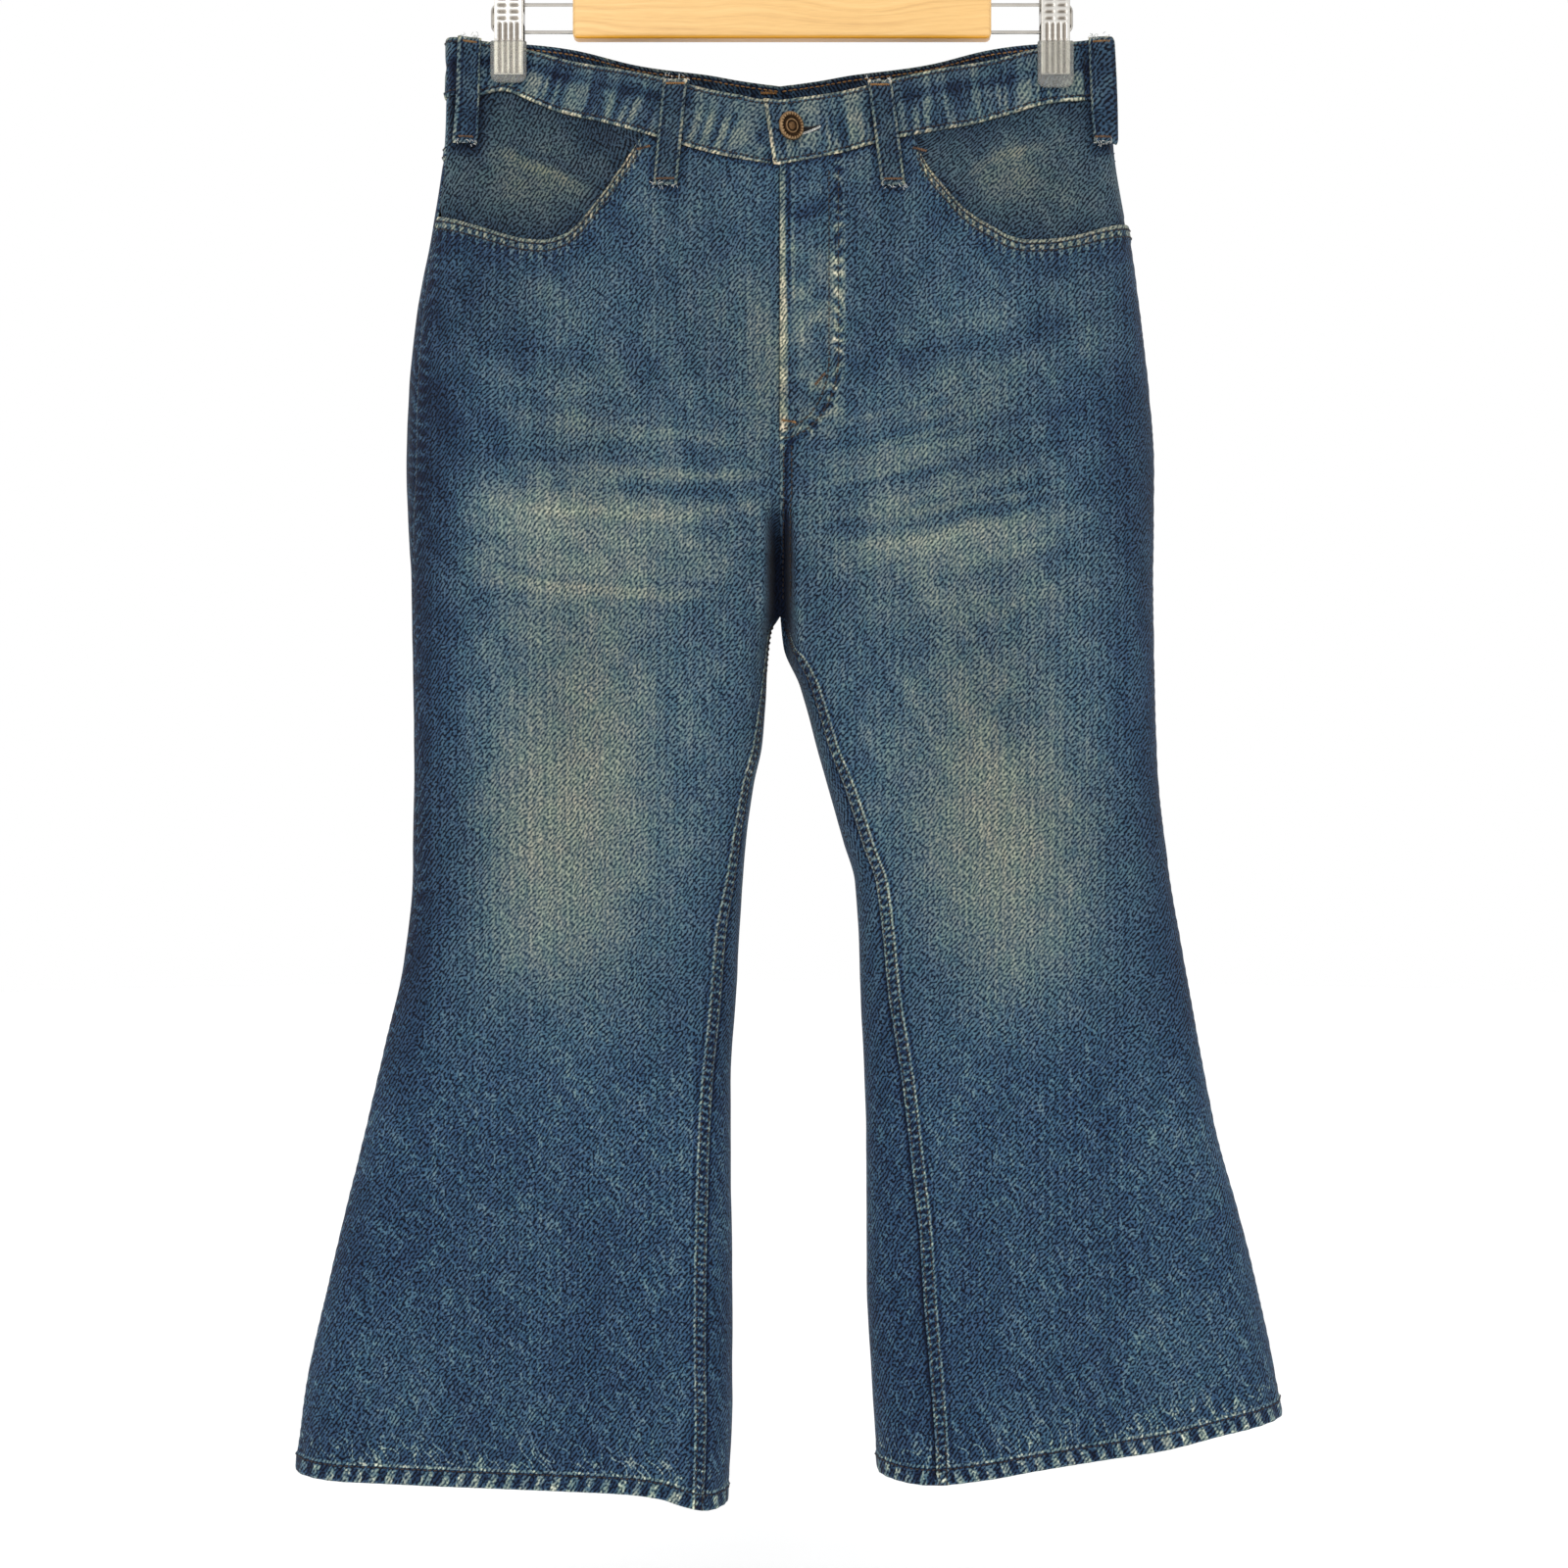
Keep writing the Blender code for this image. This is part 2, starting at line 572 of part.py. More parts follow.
def side_patch(side, face, places):
    """Columns of the waistband round its outer edge, at places around the half."""
    sign = 1 if face == "front" else -1
    span = (lambda x: waist_line(side, face, x), lambda x: band_seam(side, face, x), BAND_ROWS)
    return patch_between(
        side,
        lambda drop: sign * places[0] + 0 * drop,
        lambda drop: sign * places[-1] + 0 * drop,
        np.linspace(0, 1, len(places)),
        [span],
    )


def make_waistband():
    """One strip from the right end, round the right half, the back and the left half, to the underlap."""
    end = BAND_EDGE_ABOVE + (BAND_EDGE_BELOW - BAND_EDGE_ABOVE) * BAND_ROWS
    flat_end = 182.0
    out, back_out = np.linspace(2, flat_end, 15), np.linspace(0.01, flat_end, 14)
    edge = np.linspace(OUTER_SHARE * 0.9, 0.02, 7)
    kept = out[out > UNDERLAP_START + 4]
    patches = [
        band_patch(LEFT, "front", np.array([end, 0.4 * end])),
        band_patch(RIGHT, "front", out),
        side_patch(RIGHT, "front", edge),
        side_patch(RIGHT, "back", edge[::-1]),
        band_patch(RIGHT, "back", back_out[::-1]),
        band_patch(LEFT, "back", back_out[1:]),
        side_patch(LEFT, "back", edge),
        side_patch(LEFT, "front", edge[::-1]),
        band_patch(LEFT, "front", kept[::-1]),
        band_patch(LEFT, "front", [UNDERLAP_START]),
        band_patch(LEFT, "front", [16.0, 12.5, 5.0, 0.01]),
        band_patch(RIGHT, "front", [8.0, 18.0, UNDERLAP_END]),
    ]
    sinks = [0.0] * 10 + [UNDERLAP_SINK] * 2
    wall(
        "waistband",
        patches,
        [BAND_OUT - sink for sink in sinks],
        [-BAND_IN - sink for sink in sinks],
        DENIM_BLUE,
    )


def make_belt_loop(name, side, top_across, bottom_across):
    """A loop on the front or the side, standing over the waistband and sewn down under it."""
    across = top_across + (bottom_across - top_across) * LOOP_SHARES
    drop = waist_line(side, "front", across) + LOOP_ABOVE + LOOP_LENGTH * LOOP_SHARES
    middle = around_at(side, "front", across, drop)
    shift = np.linspace(-LOOP_WIDTH / 2, LOOP_WIDTH / 2, 5)[:, None]
    drops = np.broadcast_to(drop, (5, len(drop)))
    around = walk(side, np.broadcast_to(middle, drops.shape), drops, shift)
    wall(name, [(side, around, drops)], LOOP_STANDOFF + LOOP_THICK, LOOP_STANDOFF, DENIM_BLUE)


def make_back_loop():
    """The loop over the centre seam of the back."""
    def top(across):
        return BACK_WAIST_LINE(across) + LOOP_ABOVE

    half = LOOP_WIDTH / 2
    patches = [
        patch_across(side, "back", across, top, lambda x: top(x) + LOOP_LENGTH, LOOP_SHARES)
        for side, across in ((LEFT, [half, half / 2, 0.01]), (RIGHT, [half / 2, half]))
    ]
    wall("belt_loop_back", patches, LOOP_STANDOFF + LOOP_THICK, LOOP_STANDOFF, DENIM_BLUE)


def fly_strip(name, left, right, corner, outer, inner, material):
    """A strip behind the fly from `left` to `right` of the centre plane, its outer lower corner cut away."""
    def bottom(across):
        return FLY_PIECES_END - corner * (across / FLY_WIDTH) ** 2

    top = level(FLY_PIECES_TOP)
    patches = []
    if left < 0:
        patches.append(patch_across(LEFT, "front", [-left, -left / 2, 0.01], top, bottom, FLY_ROWS))
    columns = np.linspace(max(left, 0), right, 4)[1 if left < 0 else 0:]
    patches.append(patch_across(RIGHT, "front", columns, top, bottom, FLY_ROWS))
    wall(name, patches, outer, inner, material)


# ---------------------------------------------------------------- button and hanger
def turned(name, profile, steps, material):
    """A solid turned about its Z axis from a profile of (radius, height), down its outer side."""
    mesh = bmesh.new()
    points = [mesh.verts.new((radius * MM, 0, height * MM)) for radius, height in profile]
    for start, end in zip(points, points[1:]):
        mesh.edges.new((start, end))
    made = add_mesh(name, mesh, material)
    screw = made.modifiers.new("Turn", "SCREW")
    screw.steps = screw.render_steps = steps
    screw.use_merge_vertices = True
    screw.merge_threshold = 1e-6
    return made


def wire(name, path, diameter, material):
    """Round wire along points in the hanger's middle plane, as (x, z)."""
    curve = bpy.data.curves.new(name, "CURVE")
    curve.dimensions = "3D"
    curve.bevel_depth = diameter / 2 * MM
    curve.bevel_resolution = 2
    curve.use_fill_caps = True
    spline = curve.splines.new("POLY")
    spline.points.add(len(path) - 1)
    for point, (x, z) in zip(spline.points, path):
        point.co = (x * MM, 0, z * MM, 1)
    curve.materials.append(material)
    made = bpy.data.objects.new(name, curve)
    PARTS.objects.link(made)
    return made


def arc(centre_x, centre_z, radius, start, end, count):
    """Points round a circle in the hanger's middle plane; angles in degrees from +X."""
    angles = np.radians(np.linspace(start, end, count))
    return [(centre_x + radius * math.cos(a), centre_z + radius * math.sin(a)) for a in angles]


def box(name, low, high, bevel, material, collection=None):
    """A box with bevelled edges."""
    mesh = bmesh.new()
    bmesh.ops.create_cube(mesh, size=1)
    low, high = np.array(low), np.array(high)
    for vertex in mesh.verts:
        vertex.co = (low + (high - low) * (np.array(vertex.co) + 0.5)) * MM
    made = add_mesh(name, mesh, material, collection)
    if bevel:
        edges = made.modifiers.new("Bevel", "BEVEL")
        edges.width = bevel * MM
        edges.segments = 3
    return made


def make_button():
    cap_and_shank = (
        (0, 3.1), (2.6, 3.0), (4.2, 2.5), (5.4, 2.3), (6.1, 2.9), (7.4, 3.0), (8.3, 2.5), (8.7, 1.6),
        (8.4, 0.7), (7.2, 0.2), (3.5, 0.0), (3.5, -3.6), (0, -3.6),
    )
    button = turned("waist_button", cap_and_shank, 32, AGED_BRASS)
    place = around_at(RIGHT, "front", BUTTON_ACROSS, BUTTON_DROP)
    seat = cloth_point(RIGHT, place, BUTTON_DROP)
    button.location = (seat - (0, BAND_OUT + BUTTON_CLEAR, 0)) * MM
    button.rotation_euler = (math.radians(90), 0, math.radians(BUTTON_TURN))


def make_hook():
    centre_z = WIRE / 2 - HOOK_RADIUS
    bend_x, bend_z = arc(0, centre_z, HOOK_RADIUS, -55, -55, 1)[0]
    share = np.linspace(0, 1, 7)[1:-1]
    lean = math.radians(35)
    reach = 12.0
    handles = (0, STEM_TOP + reach), (bend_x - reach * math.cos(lean), bend_z - reach * math.sin(lean))
    corners = np.array([(0, STEM_TOP), *handles, (bend_x, bend_z)])
    rest = 1 - share
    weights = np.stack([rest**3, 3 * share * rest**2, 3 * share**2 * rest, share**3], -1)
    path = [(0, BAR_TOP + CLEARANCE), (0, STEM_TOP)]
    path += [tuple(point) for point in weights @ corners]
    path += arc(0, centre_z, HOOK_RADIUS, -55, 205, 22)
    wire("hanger_hook", path, WIRE, STEEL)


def make_arm(word, side):
    """One wire, out from the bar, down past the clip and back."""
    upper, lower = WAIST_TOP + ARM_UPPER, WAIST_TOP + ARM_LOWER
    start = abs(BAR_LOW_X if side == LEFT else BAR_HIGH_X) + CLEARANCE
    middle = ARM_END[side] - ARM_WIRE / 2 - ARM_CORNER
    turn = arc(middle, upper - ARM_CORNER, ARM_CORNER, 90, 0, 5)
    turn += arc(middle, lower + ARM_CORNER, ARM_CORNER, 0, -90, 5)
    path = [(start, upper), *turn, (start, lower)]
    wire(f"hanger_arm_{word}", [(side * x, z) for x, z in path], ARM_WIRE, STEEL)


def make_clip(word, side):
    """Two plates joined between the arm's wires, and a plastic pad over the foot of each plate."""
    middle = side * CLIP_MIDDLE[side]
    edge = PLATE_WIDTH / 2
    front_half = [
        (-PLATE_IN, BRIDGE_LOW), (-PLATE_IN, PLATE_BOTTOM), (-PLATE_OUT, PLATE_BOTTOM),
        (-PLATE_OUT, PLATE_TOP), (-PLATE_IN, PLATE_TOP), (-PLATE_IN, BRIDGE_HIGH),
    ]
    profile = front_half + [(-y, z) for y, z in front_half[::-1]]
    mesh = bmesh.new()
    points = [mesh.verts.new(((middle - edge) * MM, y * MM, (WAIST_TOP + z) * MM)) for y, z in profile]
    face = mesh.faces.new(points)
    extruded = bmesh.ops.extrude_face_region(mesh, geom=[face])["geom"]
    moved = [part for part in extruded if isinstance(part, bmesh.types.BMVert)]
    bmesh.ops.translate(mesh, verts=moved, vec=(2 * edge * MM, 0, 0))
    bmesh.ops.recalc_face_normals(mesh, faces=mesh.faces)
    add_mesh(f"hanger_clip_{word}", mesh, STEEL)
    top, bottom = WAIST_TOP + PAD_TOP, WAIST_TOP + PAD_BOTTOM[side]
    for face_word, facing in (("front", -1), ("back", 1)):
        near, far = sorted((facing * PAD_IN, facing * PAD_OUT))
        half = PAD_WIDTH / 2
        low, high = (middle - half, near, bottom), (middle + half, far, top)
        pad = box(f"clip_pad_{face_word}_{word}", low, high, 1.1, FROSTED)
        near, far = sorted((facing * (PLATE_IN - CLEARANCE), facing * (PLATE_OUT + CLEARANCE)))
        half = PLATE_WIDTH / 2 + CLEARANCE
        low = (middle - half, near, WAIST_TOP + PLATE_BOTTOM - CLEARANCE)
        high = (middle + half, far, top + 5)
        slot = box(f"slot_{face_word}_{word}", low, high, 0, FROSTED, CUTTERS)
        slot.hide_render = True
        slot.display_type = "WIRE"
        cut = pad.modifiers.new("Slot", "BOOLEAN")
        cut.operation = "DIFFERENCE"
        cut.solver = "EXACT"
        cut.object = slot


# ---------------------------------------------------------------- the objects
PARTS = bpy.data.collections.new("Flared jeans")
CUTTERS = bpy.data.collections.new("Cutters")


def add_mesh(name, mesh, material, collection=None):
    data = bpy.data.meshes.new(name)
    mesh.to_mesh(data)
    mesh.free()
    data.materials.append(material)
    made = bpy.data.objects.new(name, data)
    (collection or PARTS).objects.link(made)
    return made


def new_material(name, colour, roughness, metallic=0.0):
    material = bpy.data.materials.new(name)
    material.use_nodes = True
    shader = material.node_tree.nodes["Principled BSDF"]
    shader.inputs["Base Color"].default_value = (*colour, 1)
    shader.inputs["Roughness"].default_value = roughness
    shader.inputs["Metallic"].default_value = metallic
    return material


for leftover in list(bpy.data.objects):
    bpy.data.objects.remove(leftover)
bpy.context.scene.collection.children.link(PARTS)
bpy.context.scene.collection.children.link(CUTTERS)
DENIM_BLUE = new_material("Denim", (0.06, 0.12, 0.22), 0.9)
DENIM_DARK = new_material("Denim facing", (0.05, 0.10, 0.17), 0.9)
ZIP_TAPE = new_material("Zip tape", (0.03, 0.05, 0.10), 0.8)
AGED_BRASS = new_material("Aged brass", (0.35, 0.22, 0.12), 0.45, 1.0)
STEEL = new_material("Nickelled steel", (0.55, 0.55, 0.53), 0.3, 1.0)
WOOD = new_material("Wood", (0.45, 0.30, 0.17), 0.5)
FROSTED = new_material("Frosted plastic", (0.75, 0.78, 0.76), 0.45)

for word, side in SIDES.items():
    make_front_panel(word, side)
    make_back_panel(word, side)
    make_yoke(word, side)
    make_pocket_facing(word, side)
    make_back_pocket(word, side)
    make_arm(word, side)
    make_clip(word, side)
make_waistband()
for loop_name, loop_side, loop_top, loop_bottom in BELT_LOOPS:
    make_belt_loop(loop_name, loop_side, loop_top, loop_bottom)
make_back_loop()
fly_strip("fly_facing", 1.0, 30.0, 34.0, -0.2, -1.2, DENIM_BLUE)
fly_strip("zip_tape", -13.0, 13.0, 0.0, -1.7, -2.7, ZIP_TAPE)
fly_strip("fly_shield", -28.0, 14.0, 0.0, -3.2, -4.4, DENIM_BLUE)
make_button()
make_hook()
box(
    "hanger_bar",
    (BAR_LOW_X, -BAR_THICK / 2, BAR_BOTTOM),
    (BAR_HIGH_X, BAR_THICK / 2, BAR_TOP),
    3.0,
    WOOD,
)
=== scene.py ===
"""The worn denim, sewing, metal and wood of flared jeans on a clip hanger.

Sizes are in mm and become metres where a mesh is made. +X is the viewer's right, -Y the front and +Z up.
"Left" and "right" are the viewer's, facing the front.

The cloth is one surface for each half of the garment. A point on it has a drop, which is its height below
the top of the side seam, and a place around the half: 0 at the outer edge, 1 at the front's inner end,
-1 at the back's inner end, and past 1 or -1 on the far side of a leg's inner edge. Each piece of cloth is
a thin shell that follows this surface between its own seams, with its creases, puckers and rolled edges.
"""

import math
from functools import partial
from types import SimpleNamespace

import bmesh
import bpy
import numpy as np
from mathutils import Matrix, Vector


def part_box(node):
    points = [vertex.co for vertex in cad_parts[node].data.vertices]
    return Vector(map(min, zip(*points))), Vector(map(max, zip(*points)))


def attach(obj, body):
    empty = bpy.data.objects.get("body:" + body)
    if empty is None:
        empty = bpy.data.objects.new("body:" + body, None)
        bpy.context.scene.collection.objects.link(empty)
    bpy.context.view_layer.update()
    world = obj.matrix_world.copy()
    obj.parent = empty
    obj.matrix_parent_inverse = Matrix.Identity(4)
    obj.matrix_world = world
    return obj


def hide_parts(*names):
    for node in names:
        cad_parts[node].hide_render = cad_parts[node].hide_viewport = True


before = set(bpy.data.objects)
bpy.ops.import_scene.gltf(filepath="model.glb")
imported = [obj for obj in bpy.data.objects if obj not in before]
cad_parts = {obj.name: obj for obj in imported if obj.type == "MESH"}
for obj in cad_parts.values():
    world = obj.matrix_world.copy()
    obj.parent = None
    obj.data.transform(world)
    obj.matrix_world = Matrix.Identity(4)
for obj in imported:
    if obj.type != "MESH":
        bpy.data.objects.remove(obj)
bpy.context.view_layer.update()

MM = 0.001
LEFT, RIGHT = -1, 1
SIDES = {"left": LEFT, "right": RIGHT}
FACES = ("front", "back")

# ---------------------------------------------------------------- driving dimensions, in mm
WAIST_TOP = -110.5  # height of the top of the side seams under the rail
CROTCH = 352.0  # drop of the crotch
CLEFT = 65.0  # height over which the two legs part at the crotch
CLEFT_SHARE, CLEFT_HALF, CLEFT_TOP, CLEFT_RUN = 0.85, 7.0, 276.0, 44.0  # the front's hollow over it
LEG_BLEND = 100.0  # height above the crotch over which the section's inner end becomes round
DENIM = 1.2  # one layer of cloth
UNDER = 0.4  # gap between layers that lie on each other
BAND_OUT, BAND_IN = 0.7, 1.9  # the waistband's two layers, outside and inside the cloth's surface
BAND_EDGE_ABOVE, BAND_EDGE_BELOW = 10.0, 4.0  # its right end laps this far past the centre plane
UNDERLAP_START, UNDERLAP_END = 24.0, 28.0  # its left end sinks here, and ends past the centre plane
UNDERLAP_SINK = BAND_OUT + BAND_IN + UNDER
HEM_DEPTH, HEM_OUT, HEM_IN = 11.0, 0.4, 2.6
HEM_ROWS = 22.0  # height over the hem in which the rows of points lie closer
LOOP_WIDTH, LOOP_LENGTH, LOOP_THICK = 14.4, 66.0, 2.2
LOOP_ABOVE, LOOP_STANDOFF = -0.8, 1.3  # from the waist's edge, and over the surface
# Belt loops: name, side, distances of the top and the bottom from the centre plane.
BELT_LOOPS = (
    ("belt_loop_front_left", LEFT, 63.0, 69.0),
    ("belt_loop_front_right", RIGHT, 60.0, 68.0),
    ("belt_loop_side_left", LEFT, 190.0, 191.5),
    ("belt_loop_side_right", RIGHT, 195.6, 198.6),
)
SIDE_LOOP = 150.0  # a loop past this distance lies on the side, where less of its width is seen
CLIP_ACROSS = {LEFT: 165.0, RIGHT: 168.0}  # from the centre plane to the middle of each clip's pinch
FACING_LAP = 22.0  # how far the pocket facing runs on under the front panel
FACING_DEPTH = 2.2  # its face under the surface
FLY_WIDTH, FLY_STITCH, FLY_STRAIGHT, FLY_END = 36.0, 35.0, 199.0, 248.0
FLY_LIFT = 1.5  # the fly's right edge stands this far over the left panel
BUTTON_ACROSS, BUTTON_DROP, BUTTON_TURN, BUTTON_CLEAR = 6.0, 60.5, 32.0, 5.4
SHARED_DROP = 160.0  # below this the front and back panels have the same rows
STITCH_PITCH, STITCH_RADIUS = 3.4, 0.5
STITCH_SHARE = 0.78  # how much of the pitch a stitch fills
# Rows of stitching: how far each lies from its seam or edge, and the fly's from its outer line.
TOPSTITCH = {
    "inseam": (1.7, 6.2), "scoop": (2.8, 7.6), "yoke": (1.8, 6.6),
    "front centre": (2.2, 7.0), "back centre": (2.0, 7.2), "fly": (0.0, 5.6),
}
HEM_STITCH = {"front": 9.6, "back": 9.4}
BAND_STITCH_BELOW, BAND_STITCH_ABOVE = 2.8, 2.6  # from the waistband's lower and upper edges
BAND_STITCH_INSIDE = 3.4  # under its upper edge, inside the back
POCKET_HEM_STITCH = 18.0  # under a back pocket's top
# Puckers: from one to the next down the outseam and the inseam, and along the hem and the scoop.
OUTSEAM_PITCH, INSEAM_PITCH, HEM_PITCH, SCOOP_PITCH = 8.5, 4.6, 10.0, 5.5
WALE = 2.1  # from one diagonal line of the twill to the next
WOOD_LOW = -110.0  # height of the wooden bar's lower face
PAD_TOP = -1.8  # over WAIST_TOP
# The cut of each leg panel before sewing: width and length, and how much of that the panel fills.
FRONT_CUT, BACK_CUT = (330, 900, 0.72), (380, 860, 0.72)
# The stage, in metres.
CAMERA_X, CAMERA_Z, CAMERA_AWAY, HALF_VIEW = 0.0024, -0.5653, 1.6, 0.48
FLOOR, FLOOR_RADIUS = -1.14, 6

# Rows of the outline from the front: drop, distance of the outer edge from the centre plane.
OUTER_EDGE = {
    LEFT: (
        (0, 204), (60, 205), (119, 213), (167, 222), (215, 227), (260, 228.5), (335, 225.5),
        (455, 224), (515, 225), (563, 230), (611, 240.5), (683, 257.5), (755, 275), (827, 290.5),
        (873, 296),
    ),
    RIGHT: (
        (0, 203), (60, 204.5), (119, 213.5), (167, 220), (215, 225.5), (260, 228.5), (335, 228),
        (395, 229), (455, 231.5), (503, 237), (551, 245), (599, 253), (671, 267.5), (743, 287),
        (791, 298), (839, 307),
    ),
}
# The same for each leg's inner edge, from the crotch down.
INNER_EDGE = {
    LEFT: (
        (352, 0), (362, 5.5), (407, 9), (431, 11), (455, 16), (503, 22), (575, 26.5), (640, 30),
        (755, 29.5), (830, 29), (893, 32),
    ),
    RIGHT: (
        (352, 0), (371, 2), (395, 12), (443, 25), (491, 39), (515, 46), (575, 49), (671, 52.5),
        (755, 53), (815, 56), (875, 60),
    ),
}
# Half depths to the front and back, the widths over which the edges round off, and the clips' pinch.
SECTION_COLUMNS = ("drop", "front", "back", "side_round", "inner_round", "pinch")
SECTIONS = (
    (0, 24, 26, 20, 13, 0.90),
    (38, 26, 28, 22, 13, 0.89),
    (75, 28, 32, 30, 13, 0.62),
    (110, 30, 36, 38, 13, 0.32),
    (160, 33, 41, 48, 13, 0.08),
    (215, 35, 45, 55, 13, 0.0),
    (287, 35, 45, 55, 13, 0.0),
    (352, 32, 38, 45, 14, 0.0),
    (450, 27, 31, 36, 22, 0.0),
    (560, 24, 27, 32, 26, 0.0),
    (700, 26, 28, 34, 28, 0.0),
    (895, 30, 30, 38, 32, 0.0),
)
PINCH_INSIDE, PINCH_OUTSIDE = 60.0, 36.0  # reach of the pinch towards the centre and the side

# Seams and edges as lines on the front or back: distance from the centre plane, drop.
FRONT_WAIST = ((0, 43), (35, 38), (66, 30.5), (98, 22.5), (125, 14.5), (158, 5), (180, 1), (204, 0))
BACK_WAIST = ((0, 21), (25, 17.5), (45, 14), (70, 11), (94, 8), (130, 4), (160, 1.5), (204, 0))
FRONT_BAND_SEAM = {
    LEFT: (
        (0, 82.5), (35, 76.5), (64, 68.7), (94, 59), (114, 51.5), (137, 43.8), (152, 37.5),
        (170, 31), (184, 34), (204, 36),
    ),
    RIGHT: (
        (0, 82.5), (35, 75.5), (57, 69.3), (98, 60), (114, 55.3), (129, 49.6), (144, 44.5),
        (160, 39.6), (175, 37.5), (190, 37), (204, 36),
    ),
}
BACK_BAND_SEAM = ((0, 61), (45, 54), (94, 48), (130, 44), (165, 40), (204, 36))
SCOOP = {
    LEFT: (
        (82.7, 64), (93.6, 79.7), (105, 96), (116, 109.4), (123, 117.8), (132, 124),
        (143.4, 126.6), (155, 125.7), (172, 121), (190, 115.3), (213, 109),
    ),
    RIGHT: (
        (81.5, 66), (87, 79.7), (98.6, 94.6), (109, 105.8), (118, 112.7), (129, 118.8),
        (138, 124), (150, 126.5), (163.5, 126), (179, 123.5), (194, 119), (213, 114),
    ),
}
YOKE_SEAM = ((0, 131), (110, 101), (213, 72))
HEM_LINE = {
    LEFT: ((31, 893), (41, 893.5), (56, 890), (71, 885), (92, 882), (157, 879), (230, 876), (296, 873)),
    RIGHT: ((58, 874), (92, 876.5), (123, 873.5), (154, 868), (197, 861), (229, 856), (273, 845), (307, 839)),
}
# Seams down the leg: drop, distance in from the outline's edge, on the front (or, negative, the back).
OUTSEAM = {
    LEFT: (
        (0, 1), (110, 3), (200, 7), (260, 8), (300, 4.5), (350, 2), (430, 2), (470, 4), (510, 4),
        (560, 1), (620, 0.3), (880, 0.3),
    ),
    RIGHT: ((0, -0.3), (880, -0.3)),
}
INSEAM = {
    LEFT: (
        (352, 0), (400, 1), (431, 2), (503, 4), (550, 8), (600, 9), (683, 13), (800, 15.5), (895, 14),
    ),
    RIGHT: (
        (352, 0), (372, 5), (431, 7), (460, 10), (495, 11), (530, 13), (581, 16), (627, 21),
        (683, 26.5), (738, 32), (843, 35), (880, 34),
    ),
}
# Soft folds: a ridge (+) or trough (-) from one point on the cloth to another.
# Each row: x0, drop0, x1, drop1, half width, height.
FOLDS = {
    (LEFT, "front"): (
        (212, 236, 60, 246, 16, 1.8), (205, 284, 70, 292, 18, 2.4), (150, 338, 40, 345, 15, 1.8),
        (190, 264, 50, 272, 12, -1.4), (165, 50, 150, 110, 12, -2.2), (120, 480, 125, 780, 40, 2.4),
        (230, 700, 250, 895, 30, -2.2), (75, 640, 70, 895, 26, -2.0),
    ),
    (RIGHT, "front"): (
        (212, 222, 60, 236, 16, 1.8), (210, 268, 60, 284, 16, 2.2), (200, 312, 50, 322, 17, 1.8),
        (150, 292, 60, 300, 12, -1.4), (168, 50, 150, 110, 12, -2.2), (128, 420, 140, 760, 40, 2.4),
        (110, 600, 122, 880, 24, -2.2), (225, 680, 262, 870, 30, 2.0),
    ),
    (LEFT, "back"): (
        (20, 300, 175, 318, 16, -2.4), (15, 330, 150, 372, 18, -3.0), (60, 470, 190, 486, 16, -2.4),
        (70, 512, 200, 520, 15, -2.2), (150, 620, 175, 890, 32, 2.4),
    ),
    (RIGHT, "back"): (
        (20, 306, 170, 330, 16, -2.4), (15, 336, 140, 380, 18, -3.0), (70, 478, 200, 470, 16, -2.4),
        (80, 516, 205, 522, 15, -2.2), (150, 610, 190, 880, 32, 2.4),
    ),
}

OUTER_SHARE, INNER_SHARE = 0.28, 0.24  # parts of a half's columns that bend round its edges


# ---------------------------------------------------------------- the cloth's surface
def smooth(rows):
    """A curve through the (position, value) rows that doesn't overshoot them, held level past its ends."""
    position, value = np.array(rows, float).T
    step = np.diff(position)
    slope = np.diff(value) / step
    rate = np.zeros_like(value)
    turning = slope[:-1] * slope[1:] <= 0
    before = np.where(turning, 1.0, slope[:-1])
    after = np.where(turning, 1.0, slope[1:])
    near, far = 2 * step[1:] + step[:-1], step[1:] + 2 * step[:-1]
    rate[1:-1] = np.where(turning, 0.0, (near + far) / (near / before + far / after))
    rate[0], rate[-1] = slope[0], slope[-1]

    def curve(at):
        at = np.clip(np.asarray(at, float), position[0], position[-1])
        row = np.clip(np.searchsorted(position, at) - 1, 0, len(step) - 1)
        t = (at - position[row]) / step[row]
        return (
            value[row] * (1 + 2 * t) * (1 - t) ** 2
            + rate[row] * step[row] * t * (1 - t) ** 2
            + value[row + 1] * t * t * (3 - 2 * t)
            + rate[row + 1] * step[row] * t * t * (t - 1)
        )

    return curve


def smooth_sides(table):
    return {side: smooth(rows) for side, rows in table.items()}


def eased(share):
    share = np.clip(share, 0, 1)
    return share * share * (3 - 2 * share)


def rise(value, start, length):
    """0 before the start and 1 past the length, with soft ends."""
    return eased((value - start) / length)


def bell(distance, width, power=2):
    return np.exp(-((distance / width) ** power))


def arch(share):
    """0 at both ends and 1 in the middle."""
    return np.sin(np.clip(share, 0, 1) * math.pi)


def turns(count):
    """A sine of this many turns."""
    return np.sin(2 * math.pi * count)


def beside_line(across, drop, x0, drop0, x1, drop1):
    """How far along a line each point is, from 0 to 1, and how far beside it."""
    run = np.array([x1 - x0, drop1 - drop0], float)
    length = math.hypot(*run)
    along = ((across - x0) * run[0] + (drop - drop0) * run[1]) / length**2
    return along, ((drop - drop0) * run[0] - (across - x0) * run[1]) / length


OUTER, INNER_LEG = smooth_sides(OUTER_EDGE), smooth_sides(INNER_EDGE)
SECTION = {
    name: smooth([(row[0], row[column]) for row in SECTIONS])
    for column, name in enumerate(SECTION_COLUMNS)
    if column
}


